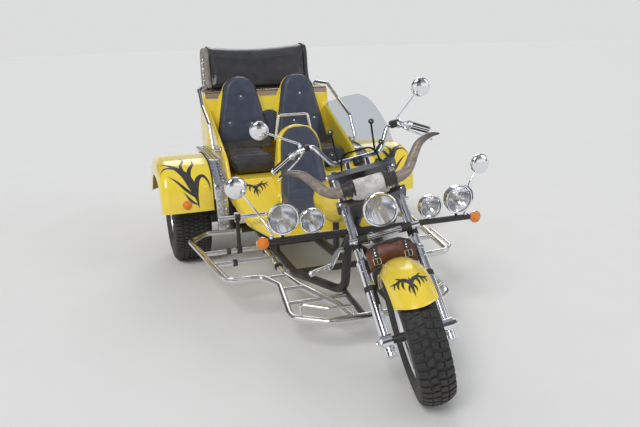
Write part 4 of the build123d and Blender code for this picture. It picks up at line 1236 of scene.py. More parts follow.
def panel(s, t, lift):
    """The sloping panel beside the rider: s up its slope from the motif's middle, t across, lift off it."""
    s, t = np.broadcast_arrays(s, t)
    rise, level = np.sin(PANEL_SLOPE), np.cos(PANEL_SLOPE)
    return np.stack([t, PANEL_AT[1] + level * s - rise * lift, PANEL_AT[2] + rise * s + level * lift], -1)


def panel_motifs():
    """The winged motif painted on both sloping panels."""
    form = Form()
    for _, side in SIDES:
        strokes = [[(x * 1.42, y * 1.08, w * 1.15) for x, y, w in stroke] for stroke in MOTIF]
        ribbons(form, lambda s, t, lift: panel(s, t + side * PANEL_AT[0], lift), strokes, 0.0018,
                mirror=True)
    piece("body_motifs", form, "flame_film", "frame")


class TRIKE_OT_body(bpy.types.Operator):
    """Yellow moulded body, tank and fenders with their painted shapes"""
    bl_idname = "trike.body"
    bl_label = "Body, tank and fenders"

    def execute(self, context):
        moulded("body_skin", "body_shell", "yellow", "frame",
                0.0095, 10)
        for label, side in SIDES:
            rear_fender(label, side)
        panel_motifs()
        fuel_tank()
        front_fender()
        return {"FINISHED"}


# Wheels


def on_fork(along, ahead, side=0.0):
    """A point of the turned fork: along the steering axis, ahead of it and to its left."""
    along, ahead, side = np.broadcast_arrays(along, ahead, side)
    sideways = side[..., None] * FORK_SIDE
    return STEER_AT + along[..., None] * STEER_UP + ahead[..., None] * FORK_AHEAD + sideways


def tread(form, crown, depth, count, rows):
    """Tread blocks: each row's corners are (share of a pitch, distance across); walls, a bevel and a
    flat top each."""
    k = np.arange(count)[:, None, None]
    for shift, corners in rows:
        corners = np.asarray(corners, float)
        middle = corners.mean(0)
        levels = np.stack([corners, corners, middle + (corners - middle) * 0.86,
                           np.repeat(middle[None], len(corners), 0)])
        for sign in (1, -1):
            angle = (k + shift + 0.5 * (sign < 0) + levels[None, ..., 0]) * TAU / count
            across = np.broadcast_to(levels[None, ..., 1], angle.shape)
            radius = crown(across) - np.array([depth, 0.0013, 0.0, 0.0])[None, :, None]
            form.copies(np.stack([sign * across, -np.sin(angle) * radius, np.cos(angle) * radius], -1))


def carcass(form, half_profile, wall=0.008):
    """A tyre's body: half an outline (across, radius) from the crown to the bead, mirrored, turned,
    with an inner wall."""
    half = smooth_line(half_profile, 40)
    outer = np.concatenate([half[::-1] * [-1, 1], half[1:]])
    way = heading(outer)
    inner = outer + np.stack([-way[:, 1], way[:, 0]], 1) * -wall
    inner = np.where(outer[:, 1:] < half_profile[-1][1] + 0.004, outer * [0.93, 1], inner)
    form.lathe(np.concatenate([outer, inner[::-1]]), (0, 0, 0), (1, 0, 0), 112, wrap=True)


CROWN_R = 0.1292


def front_crown(across):
    """The front tread's radius at a distance across: an arc over its width."""
    return FRONT_R - (CROWN_R - np.sqrt(CROWN_R ** 2 - np.clip(np.abs(across), 0, 0.12) ** 2))


REAR_CROWN = np.array([(0, 0.335), (0.097, 0.335), (0.106, 0.3325), (0.115, 0.3265), (0.122, 0.320),
                       (0.128, 0.307), (0.133, 0.280)])


def rear_crown(across):
    """The rear tread's radius at a distance across: flat, then round over the shoulder."""
    return np.interp(np.abs(across), REAR_CROWN[:, 0], REAR_CROWN[:, 1])


def rods(form, feet, tips, radius, sides=6):
    """Straight rods between two lists of points, all of one thickness."""
    feet, tips = np.asarray(feet, float), np.asarray(tips, float)
    along = unit(tips - feet)
    across = unit(np.cross(along, [0.3, 0.5, 0.81]))
    other = np.cross(along, across)
    turn = around(sides)
    ring = hoops(turn, across, other)
    form.copies(np.stack([feet[:, None] + 0 * ring, feet[:, None] + radius * ring,
                          tips[:, None] + radius * ring, tips[:, None] + 0 * ring], 1))


SPOKES = 40
# Tread pitches round the front and the rear tyre
FRONT_PITCHES, REAR_PITCHES = 46, 72


def front_wheel():
    """Blocky tyre, wide rim, laced spokes with nipples, and the hub."""
    place = on_axle(HUB, FORK_SIDE)
    tyre = Form(place)
    carcass(tyre, [(0.0, 0.3165), (0.035, 0.3115), (0.062, 0.3015), (0.0745, 0.293), (0.0795, 0.272),
                   (0.0812, 0.252), (0.0772, 0.246), (0.0735, 0.228), (0.062, 0.210), (0.057, 0.2052)])
    tread(tyre, front_crown, 0.0085, FRONT_PITCHES, [
        (0.0, [(0.06, 0.0035), (0.70, 0.0035), (0.86, 0.030), (0.30, 0.034), (0.10, 0.020)]),
        (0.25, [(0.0, 0.0395), (0.62, 0.037), (0.74, 0.060), (0.66, 0.0765), (0.04, 0.0765),
                (0.10, 0.056)])])
    piece("front_tyre_tread", tyre, "tyre", "front_wheel", ("front_tyre",), 32)
    rim = Form(place)
    edge = np.array([(0.0, 0.1795), (0.020, 0.1800), (0.034, 0.1855), (0.046, 0.1885), (0.0515, 0.1935),
                     (0.0535, 0.2005), (0.0568, 0.2045), (0.0500, 0.2045), (0.0475, 0.1975),
                     (0.043, 0.1925), (0.030, 0.1890), (0.0, 0.1835)])
    rim.lathe(np.concatenate([edge, edge[::-1][1:-1] * [-1, 1]]), (0, 0, 0), (1, 0, 0), 112,
              wrap=True)
    hub = np.array([(0.0, 0.024), (0.030, 0.0255), (0.034, 0.034), (0.0365, 0.0445), (0.042, 0.0445),
                    (0.045, 0.033), (0.0515, 0.028), (0.052, 0.0135)])
    rim.lathe(np.concatenate([hub[::-1] * [-1, 1], hub[1:], [(0.052, 0.0105), (-0.052, 0.0105)]]),
              (0, 0, 0), (1, 0, 0), 48, wrap=True)
    k = np.arange(SPOKES)
    side = np.where(k % 2, 1.0, -1.0)
    tip_at = k * TAU / SPOKES
    foot_at = tip_at + np.where((k // 2) % 2, 1, -1) * 0.62
    feet = np.stack([side * 0.0392, -np.sin(foot_at) * 0.0405, np.cos(foot_at) * 0.0405], 1)
    tips = np.stack([side * 0.012, -np.sin(tip_at) * 0.1815, np.cos(tip_at) * 0.1815], 1)
    rods(rim, feet, tips, 0.0021)
    rods(rim, tips + (feet - tips) * 0.11, tips, 0.0037)
    piece("front_rim_laced", rim, "chrome", "front_wheel", ("front_rim",), 30)
    spacer = Form(place)
    for side in (-1, 1):
        spacer.lathe([(0.0, 0.0105), (0.0, 0.021), (0.034, 0.021), (0.036, 0.018), (0.060, 0.018),
                      (0.062, 0.0105)],
                     (side * 0.0535, 0, 0), (side, 0, 0), 36, wrap=True)
    piece("front_spacers", spacer, "black_frame", "fork")
    nuts = Form(place)
    for side in (-1, 1):
        nuts.lathe([(0.0, 0.0), (0.0, 0.023), (0.004, 0.023), (0.004, 0.0165), (0.017, 0.0165),
                    (0.019, 0.015), (0.019, 0.0)],
                   (side * 0.1665, 0, 0), (side, 0, 0), 6)
        nuts.lathe([(0.018, 0.0), (0.018, 0.010), (0.024, 0.009), (0.026, 0.0)], (side * 0.1665, 0, 0),
                   (side, 0, 0), 24)
    piece("front_axle_nuts", nuts, "chrome", "fork", sharp=25)


# The cast rim: its arms, and each wheel nut's angle past its arm and reach from the axle
RIM_ARMS, NUT_TURN, NUT_REACH = 5, 0.63, 0.058


def rear_wheel(label, side):
    """Wide ribbed tyre and a deep rim with five broad spokes, wheel nuts and a domed cap."""
    body = f"rear_wheel_{label}"
    place = on_axle(np.array(JOINTS[f"{body}_spin"]["pos_m"]), (side, 0, 0))
    tyre = Form(place)
    carcass(tyre, [(0.0, 0.3255), (0.07, 0.3255), (0.100, 0.3240), (0.118, 0.312), (0.1265, 0.296),
                   (0.131, 0.280), (0.1385, 0.255), (0.1375, 0.243), (0.1335, 0.239), (0.1325, 0.228),
                   (0.121, 0.204), (0.110, 0.1952)], 0.010)
    tread(tyre, rear_crown, 0.0095, REAR_PITCHES, [
        (0.0, [(0.04, 0.0030), (0.84, 0.0030), (0.96, 0.030), (0.16, 0.030)]),
        (0.4, [(0.02, 0.0380), (0.80, 0.0380), (0.92, 0.0530), (0.84, 0.068), (0.05, 0.068),
               (0.14, 0.053)]),
        (0.1, [(0.0, 0.0760), (0.80, 0.0760), (0.86, 0.100), (0.80, 0.118), (0.72, 0.1285), (0.02, 0.1285),
               (0.08, 0.118), (0.10, 0.10)])])
    piece(f"rear_tyre_tread_{label}", tyre, "tyre", body, (f"rear_tyre_{label}",), 32)
    rim = Form(place)
    rim.lathe([(0.1095, 0.1945), (0.1095, 0.187), (0.105, 0.1805), (0.096, 0.1775), (0.088, 0.170),
               (0.020, 0.1655), (-0.070, 0.1680), (-0.096, 0.1750), (-0.1095, 0.1830), (-0.1095, 0.1945),
               (-0.1035, 0.1945), (-0.100, 0.184), (-0.070, 0.1740), (0.020, 0.1715), (0.086, 0.1760),
               (0.100, 0.1860), (0.1035, 0.1945)], (0, 0, 0), (1, 0, 0), 112, wrap=True)
    turn = around(26)
    reach = np.array([0.040, 0.056, 0.075, 0.105, 0.140, 0.162, 0.1705])
    broad = np.array([0.034, 0.031, 0.028, 0.0265, 0.030, 0.042, 0.052])
    thick = np.array([0.012, 0.012, 0.0105, 0.0085, 0.008, 0.0085, 0.009])
    out = np.array([0.030, 0.031, 0.029, 0.022, 0.014, 0.012, 0.012])
    rows = smooth_line(np.stack([reach, broad, thick, out], 1), 26)
    for k in range(RIM_ARMS):
        way = np.array([0, -np.sin(k * TAU / RIM_ARMS), np.cos(k * TAU / RIM_ARMS)])
        over = np.array([0, way[2], -way[1]])
        rim.loft(rows[:, None, 3:] * [1, 0, 0] + rows[:, None, :1] * way
                 + blunt(np.cos(turn), 0.55)[None, :, None] * rows[:, 1:2, None] * over
                 + blunt(np.sin(turn), 0.55)[None, :, None] * rows[:, 2:3, None] * [1, 0, 0])
        nut = way * np.cos(NUT_TURN) * NUT_REACH + over * np.sin(NUT_TURN) * NUT_REACH + [0.036, 0, 0]
        rim.lathe([(-0.006, 0.0), (-0.006, 0.0115), (0.006, 0.0115), (0.010, 0.0098), (0.018, 0.0098),
                   (0.021, 0.007), (0.022, 0.0)],
                  nut, (1, 0, 0), 6)
    rim.lathe([(-0.100, 0.0301), (-0.100, 0.060), (0.026, 0.064), (0.039, 0.060), (0.041, 0.046),
               (0.041, 0.0)], (0, 0, 0), (1, 0, 0), 60)
    rim.lathe([(0.040, 0.0), (0.040, 0.041), (0.047, 0.0405), (0.053, 0.036), (0.056, 0.0355),
               (0.066, 0.022), (0.069, 0.0)],
              (0, 0, 0), (1, 0, 0), 60)
    piece(f"rear_rim_cast_{label}", rim, "chrome", body, (f"rear_rim_{label}",), 30)
    drum = Form(place)
    drum.lathe([(-0.096, 0.0), (-0.096, 0.118), (-0.090, 0.124), (-0.080, 0.124), (-0.078, 0.118),
                (-0.066, 0.118), (-0.064, 0.124), (-0.054, 0.124), (-0.052, 0.118), (-0.022, 0.118),
                (-0.016, 0.110), (-0.012, 0.0)], (0, 0, 0), (1, 0, 0), 72)
    piece(f"rear_drum_{label}", drum, "cast_metal", body)


class TRIKE_OT_wheels(bpy.types.Operator):
    """Tyres with their tread, rims, spokes, hubs and nuts"""
    bl_idname = "trike.wheels"
    bl_label = "Wheels"

    def execute(self, context):
        front_wheel()
        for label, side in SIDES:
            rear_wheel(label, side)
        return {"FINISHED"}


# Lamps and mirrors


def fork_way(direction):
    """A direction drawn with the fork straight ahead, as it lies at rest."""
    return turned(STEER_AT + np.asarray(direction, float)) - STEER_AT


def lamps(name, body, replaced, centres, forward, radius, depth, peak=False):
    """Lamps: a turned bowl with a bezel, a parabolic reflector, a bulb in its holder and a domed glass."""
    bowls, mirrors, glasses, bulbs = Form(), Form(), Form(), Form()
    r, d = radius, depth
    t = np.linspace(0, 1, 16)
    back = np.column_stack([-d + (d - 0.020) * t ** 0.9, r * 0.97 * np.sin(t * np.pi / 2) ** 0.62])
    bezel = [(-0.019, 0.985 * r), (-0.016, r), (-0.003, r), (0.002, 0.985 * r), (0.0040, 0.945 * r),
             (0.003, 0.890 * r), (-0.002, 0.865 * r), (-0.010, 0.860 * r)]
    depth_in = 0.55 * d
    dish = np.column_stack([-0.010 - depth_in * (1 - (1 - t) ** 2), 0.860 * r * (1 - t)])
    dome = np.column_stack([0.0015 + 0.11 * r * (1 - t[::-1] ** 2), 0.862 * r * t[::-1]])[::-1]
    for centre in centres:
        bowls.lathe(np.concatenate([back, bezel]), centre, forward, 64)
        mirrors.lathe(dish, centre, forward, 56)
        glasses.lathe(np.concatenate([dome, [(-0.003, 0.862 * r), (-0.003, 0.0)]]), centre, forward, 56)
        bulbs.lathe([(-0.008 - depth_in, 0.0), (-0.008 - depth_in, 0.16 * r), (-depth_in, 0.15 * r),
                     (0.012 - depth_in, 0.10 * r), (0.35 * d - depth_in, 0.10 * r),
                     (0.40 * d - depth_in, 0.0)], centre, forward, 24)
        if peak:
            turn = np.linspace(-0.62 * np.pi, 0.62 * np.pi, 44)[:, None]
            out = np.linspace(0, 1, 8)[None, :]
            level = unit(np.cross(forward, [0, 0, 1.0]))
            above = np.cross(level, forward)
            reach = 0.030 * np.cos(turn / 1.25) ** 0.8 * out - 0.006
            wide = r * (1.006 + 0.02 * out)
            grid = [np.asarray(centre) + reach[..., None] * forward
                    + ((wide + lift) * np.sin(turn))[..., None] * level
                    + ((wide + lift) * np.cos(turn))[..., None] * above for lift in (0, 0.0014)]
            bowls.slab(*grid)
    piece(f"{name}_bowls", bowls, "chrome", body, replaced, 40)
    piece(f"{name}_reflectors", mirrors, "reflector", body, turn_out=False)
    piece(f"{name}_glasses", glasses, "lens", body, sharp=50)
    piece(f"{name}_bulbs", bulbs, "bulb", body)


def signal(name, body, places, radius, lens, replaced, cup=0.030):
    """Round signals: a plated cup and rim, and a stepped coloured lens with a raised middle."""
    cups, lenses = Form(), Form()
    r = radius
    for centre, forward in places:
        cups.lathe([(-cup, 0.0), (-cup, 0.32 * r), (-0.78 * cup, 0.66 * r), (-0.35 * cup, 0.92 * r),
                    (-0.005, 0.99 * r), (0.001, r), (0.0035, 0.97 * r), (0.002, 0.90 * r),
                    (-0.004, 0.90 * r), (-0.004, 0.0)], centre, forward, 40)
        lenses.lathe([(-0.002, 0.0), (-0.002, 0.89 * r), (0.006, 0.88 * r), (0.010, 0.80 * r),
                      (0.011, 0.70 * r), (0.0095, 0.66 * r), (0.0125, 0.60 * r), (0.0145, 0.45 * r),
                      (0.013, 0.41 * r), (0.0165, 0.34 * r), (0.0185, 0.18 * r), (0.019, 0.0)],
                     centre, forward, 44)
    piece(f"{name}_cups", cups, "chrome", body, replaced, 35)
    piece(f"{name}_lenses", lenses, lens, body, sharp=30)


def mirrors(name, body, replaced, stems, centres, radius, thick, place):
    """Round mirrors: a domed plated back that faces ahead, glass behind, and a bent stem with a ball
    and a nut."""
    shells, faces = Form(place), Form(place)
    r = radius
    t = np.linspace(0, 1, 14)
    dome = np.column_stack([0.006 + (thick - 0.006) * np.cos(t * np.pi / 2) ** 0.85,
                            r * np.sin(t * np.pi / 2)])
    for stem, centre in zip(stems, centres):
        shells.lathe(np.concatenate([dome,
                                     [(0.001, r), (-0.001, 0.985 * r), (-0.001, 0.945 * r),
                                      (0.002, 0.94 * r), (0.002, 0.0)]]),
                     centre, (0, -1, 0), 56)
        faces.lathe([(0.0005, 0.0), (0.0005, 0.94 * r), (0.0019, 0.94 * r), (0.0019, 0.0)], centre,
                    (0, -1, 0), 56)
        line = smooth_line(stem, 60)
        shells.tube(line, 0.0055, 14)
        foot, way = line[0], unit(line[1] - line[0])
        shells.lathe([(-0.002, 0.0), (-0.002, 0.011), (0.010, 0.011), (0.012, 0.0085), (0.018, 0.0085),
                      (0.019, 0.0)], foot, way, 6)
        shells.pod(line[-1], (0.010, 0.010, 0.010), 1.0, 12, 16)
    piece(f"{name}_shells", shells, "chrome", body, replaced, 30)
    piece(f"{name}_glass", faces, "mirror", body)


def both(points):
    """The points for the vehicle's right and left, as two lists."""
    points = np.asarray(points, float)
    return [points * [side, 1, 1] for _, side in SIDES]


class TRIKE_OT_lamps(bpy.types.Operator):
    """Headlamp, four spot lamps, turn signals, markers, tail lamps and mirrors"""
    bl_idname = "trike.lamps"
    bl_label = "Lamps and mirrors"

    def execute(self, context):
        ahead = np.array([0, -1.0, 0])
        head = on_fork(-0.4028, 0.3056)
        lamps("headlamp", "fork", ("headlamp",), [head], fork_way(ahead), 0.084, 0.140)
        bracket = Form()
        rod_line = [on_fork(-0.22, 0.1355), on_fork(-0.22, 0.161), head - 0.118 * fork_way(ahead)]
        bracket.tube(smooth_line(rod_line, 20), 0.012, 16)
        piece("headlamp_bracket", bracket, "chrome", "fork")
        lamps("spot_large", "frame", ("spot_lamps_large",), both((0.487, -0.903, 0.753)), ahead,
              0.080, 0.105, True)
        lamps("spot_small", "frame", ("spot_lamps_small",), both((0.330, -0.884, 0.722)), ahead,
              0.066, 0.090)
        signal("turn_signal", "frame", [(p, ahead) for p in both((0.5952, -0.894, 0.640))], 0.033, "amber",
               ("turn_signals",), 0.038)
        tilted = unit([0, -0.185, 0.030])
        markers = [(p, tilted) for p in both((0.780, 0.5325, 0.5108))]
        signal("fender_marker", "frame", markers, 0.032, "amber", ("fender_markers",), 0.012)
        signal("tail_lamp", "frame", [(p, unit([0, 0.145, 0.030])) for p in both((0.700, 1.4100, 0.5665))],
               0.045, "red_lens", ("tail_lamps",), 0.034)
        mirrors("side_mirror", "frame", ("side_mirrors",),
                both([(0.545, -0.875, 0.6562), (0.547, -0.872, 0.690), (0.612, -0.792, 0.800),
            (0.672, -0.775, 0.880), (0.686, -0.780, 0.903)]), both((0.688, -0.765, 0.903)), 0.056, 0.028,
                as_drawn)
        mirrors("bar_mirror", "fork", ("bar_mirrors",),
                both([(0.272, -0.652, 1.1112), (0.274, -0.646, 1.128), (0.330, -0.590, 1.155),
            (0.430, -0.492, 1.205), (0.460, -0.488, 1.224)]), both((0.462, -0.475, 1.224)), 0.053, 0.026,
                turned)
        return {"FINISHED"}


# Fork, bar and horns


HORN = [(0.1043, -0.985, 0.912, 0.0315), (0.1435, -0.961, 0.903, 0.0300), (0.183, -0.936, 0.902, 0.0285),
        (0.2225, -0.916, 0.922, 0.0275), (0.262, -0.900, 0.972, 0.0245), (0.3015, -0.887, 1.018, 0.0208),
        (0.341, -0.878, 1.038, 0.0168), (0.3805, -0.872, 1.044, 0.0120), (0.420, -0.870, 1.038, 0.0045)]


MOUNT_Y, MOUNT_Z = -0.985, 0.912


def on_mount(across, reach, turn, hang=1.0):
    """Points round the horn mount's bar: across it, at a reach from its middle and a turn; hang
    stretches them down."""
    return np.stack([across, MOUNT_Y + reach * np.cos(turn), MOUNT_Z + reach * np.sin(turn) * hang], -1)


def horn_set():
    """Two curved horns whose thickness wanders a little, on a roll of short-haired hide with leather
    sleeves."""
    form = Form(turned)
    for _, side in SIDES:
        rows = smooth_line(HORN, 90)
        line, radius = rows[:, :3] * [side, 1, 1], rows[:, 3]
        radius = radius * (1 + 0.02 * ripple(line, 0.05, 11))
        turn = around(30)
        along = heading(line)
        across = unit(np.cross(along, [0.1, 0.3, 1.0]))
        other = np.cross(along, across)
        ridge = 1 + 0.018 * np.cos(5 * turn + 0.6)[None, :] * (1 - np.linspace(0, 1, 90))[:, None]
        ring = hoops(turn, across, other)
        grid = line[:, None] + (radius[:, None] * ridge)[..., None] * ring
        ends = [np.repeat(line[:1, None], 30, 1), grid,
                np.repeat(line[-1:, None] + 0.001 * along[-1:, None], 30, 1)]
        form.sheet(np.concatenate(ends), wrap_cols=True,
                   value=np.repeat(np.concatenate([[0], np.linspace(0, 1, 90), [1]])[:, None], 30, 1))
    piece("horn_pair", form, "horn", "fork", ("horns",), 0)
    hide = Form(turned)
    x = np.linspace(-1, 1, 50)[:, None]
    turn = around(48)[None, :]
    radius = 0.0425 * (1 - 0.05 * x ** 2) * (1 + 0.02 * np.cos(3 * turn + 4 * x))
    hang = 1 + 0.62 * np.clip(-np.sin(turn), 0, 1) * (1 - 0.35 * x ** 4)
    wide = 0.086 * x * (1 - 0.10 * np.sin(turn))
    grid = on_mount(wide, radius, turn, hang)
    grid += 0.0012 * ripple(grid, 0.03, 9)[..., None] * [0, 1, 1]
    hide.loft(list(grid))
    piece("horn_hide", hide, "hide", "fork", ("horn_mount",), 40)
    sleeves = Form(turned)
    for _, side in SIDES:
        rows = smooth_line([(0.074, 0.0425), (0.084, 0.0430), (0.096, 0.0405), (0.108, 0.0365),
                            (0.124, 0.0345), (0.138, 0.0335)], 30)
        fold = 1 + 0.02 * np.cos(7 * turn + 0.5 * side) * np.sin(np.linspace(0, np.pi, 30))[:, None] ** 2
        radius = rows[:, 1:] * fold
        across = side * rows[:, :1] + 0 * turn
        outer, inner = on_mount(across, radius, turn), on_mount(across, radius - 0.002, turn)
        sleeves.sheet(np.concatenate([outer, inner[::-1]]), wrap_rows=True, wrap_cols=True)
        for at in (0.079, 0.134):
            wide = 0.2 * (0.134 - at)
            sleeves.lathe([(at - 0.003, 0.0345 + wide), (at, 0.0365 + wide), (at + 0.003, 0.0345 + wide),
                           (at, 0.033 + wide)],
                          (0, MOUNT_Y, MOUNT_Z), (side, 0, 0), 48, wrap=True)
    piece("horn_sleeves", sleeves, "black_leather", "fork", sharp=50)


CLOCK_AT = np.array([0, -0.765, 0.990])
# A lever's line, drawn for the left with the fork straight ahead
LEVER = [(0.272, -0.668, 1.088), (0.277, -0.694, 1.080), (0.303, -0.712, 1.060), (0.350, -0.690, 1.024),
         (0.400, -0.655, 0.985), (0.430, -0.630, 0.960)]


def bar_controls():
    """Grips with rubber bars on a plated sleeve, levers with perches, the switch block and the round
    clock."""
    sleeves, bars, lever, block = Form(turned), Form(turned), Form(turned), Form(turned)
    for _, side in SIDES:
        start, end = np.array([side * 0.325, -0.6298, 1.0712]), np.array([side * 0.445, -0.533, 0.9903])
        way = unit(end - start)
        length = np.linalg.norm(end - start)
        sleeves.lathe([(0.0, 0.0128), (0.0, 0.0215), (0.005, 0.0225), (0.008, 0.0165),
                       (length - 0.012, 0.0165), (length - 0.008, 0.0195), (length - 0.001, 0.019),
                       (length + 0.004, 0.012), (length + 0.005, 0.0)], start, way, 40)
        up = unit(np.cross(way, [0, 1.0, 0.2]))
        over = np.cross(way, up)
        turn = np.arange(9) * TAU / 9
        out = np.cos(turn)[:, None] * up + np.sin(turn)[:, None] * over
        rods(bars, start + 0.011 * way + out * 0.0165, start + (length - 0.015) * way + out * 0.0165,
             0.0034, 8)
        line = smooth_line(np.array(LEVER) * [side, 1, 1], 50)
        lever.tube(line, np.interp(np.linspace(0, 1, 50), [0, 0.2, 0.8, 0.95, 1],
                                   [0.0065, 0.0055, 0.0045, 0.0045, 0.006]), 12, 1.0)
        lever.pod(line[-1], (0.008, 0.008, 0.008), 1.0, 12, 16)
        lever.lathe([(0.0, 0.0127), (0.0, 0.0185), (0.003, 0.0195), (0.019, 0.0195), (0.022, 0.0185),
                     (0.022, 0.0127)],
                    (side * 0.262, -0.6521, 1.092), (side * 0.02, 0.0011, -0.0022), 32, wrap=True)
        lever.pod((side * 0.272, -0.674, 1.090), (0.011, 0.012, 0.009), 0.5)
    block.pod((0.236, -0.668, 1.103), (0.020, 0.026, 0.017), 0.4)
    block.pod((0.238, -0.680, 1.121), (0.017, 0.015, 0.006), 0.4)
    block.pod((-0.238, -0.664, 1.101), (0.016, 0.020, 0.016), 0.4)
    lift = unit([0, 0.55, 1.0])
    block.lathe([(-0.028, 0.0), (-0.028, 0.024), (-0.022, 0.030), (0.010, 0.031), (0.013, 0.029),
                 (0.013, 0.026), (0.010, 0.025), (0.010, 0.0)],
                CLOCK_AT, lift, 48)
    piece("grip_sleeves", sleeves, "chrome", "fork", ("grips",), 35)
    piece("grip_bars", bars, "rubber", "fork")
    piece("lever_set", lever, "chrome", "fork", ("levers",), 35)
    piece("switches_and_clock", block, "black_plastic", "fork", sharp=35)
    face = Form(turned)
    face.lathe([(0.0, 0.0), (0.0, 0.0255), (0.002, 0.0255), (0.0025, 0.0)], CLOCK_AT + 0.0102 * lift, lift,
               40)
    piece("clock_face", face, "plate", "fork")


SCREEN_LEAN, SCREEN_FOOT = np.radians(18.6), np.array([0, -0.860, 0.960])
# The sheet's left outline and its lower edge from the middle: across, up the sheet
SCREEN_SIDE = [(0.190, 0.055), (0.192, 0.110), (0.186, 0.170), (0.172, 0.235), (0.150, 0.300),
               (0.118, 0.352), (0.080, 0.378)]
SCREEN_LOW = [(0.0, 0.088), (0.040, 0.084), (0.062, 0.062), (0.080, 0.020), (0.110, 0.006), (0.150, 0.016),
              (0.190, 0.055)]


def windscreen():
    """A bowed sheet with lobes below: rows run between the left and right outlines; four knobs hold it."""
    form = Form(turned)
    up = np.array([0, np.sin(SCREEN_LEAN), np.cos(SCREEN_LEAN)])
    out = np.array([0, -np.cos(SCREEN_LEAN), np.sin(SCREEN_LEAN)])

    def sheet_at(x, v, lift):
        bow = 0.012 * (1 - (x / 0.12) ** 2)
        return SCREEN_FOOT + x[..., None] * [1.0, 0, 0] + v[..., None] * up + (lift + bow)[..., None] * out
    side, low = smooth_line(SCREEN_SIDE, 40), smooth_line(SCREEN_LOW, 61)
    waist, crest = SCREEN_SIDE[0][1], SCREEN_SIDE[-1][1]
    u = np.linspace(0, 1, 61)[None, :]
    top = crest + 0.003 * np.sin(np.pi / 2 * (1 - u))
    wide = side[:, :1]
    low_x, low_v = low[None, :, 0], low[None, :, 1]
    x = low_x / SCREEN_SIDE[0][0] * (wide + 0 * u)
    v = low_v + (top - low_v) * (side[:, 1:] - waist) / (crest - waist)
    x = np.concatenate([-x[:, ::-1], x[:, 1:]], 1)
    v = np.concatenate([v[:, ::-1], v[:, 1:]], 1)
    form.slab(sheet_at(x, v, 0 * x), sheet_at(x, v, 0 * x - 0.0035))
    piece("windscreen_sheet", form, "screen", "fork", ("windscreen",), 60)
    knobs, screws = Form(turned), Form(turned)
    for _, s in SIDES:
        for across, above in ((0.129, 0.110), (0.107, 0.224)):
            at = sheet_at(np.array(s * across), np.array(above), np.array(0.0))
            knobs.lathe([(0.0005, 0.0), (0.0005, 0.013), (0.004, 0.0145), (0.010, 0.0125), (0.012, 0.0)],
                        at, out, 28)
            knobs.lathe([(-0.012, 0.0), (-0.012, 0.008), (-0.004, 0.012), (-0.0036, 0.0)], at, out, 24)
            screws.lathe([(0.0115, 0.0), (0.0115, 0.006), (0.0150, 0.0045), (0.016, 0.0)], at, out, 16)
    piece("screen_knobs", knobs, "black_plastic", "fork")
    piece("screen_screws", screws, "chrome", "fork")


# Along the steering axis and ahead of it; radius, half length, and the straps' distance from the middle
TOOL_ROLL_AT = -0.549, 0.152
TOOL_ROLL_R, TOOL_ROLL_HALF, STRAP_AT, STRAP_HALF = 0.0520, 0.1125, 0.076, 0.0125


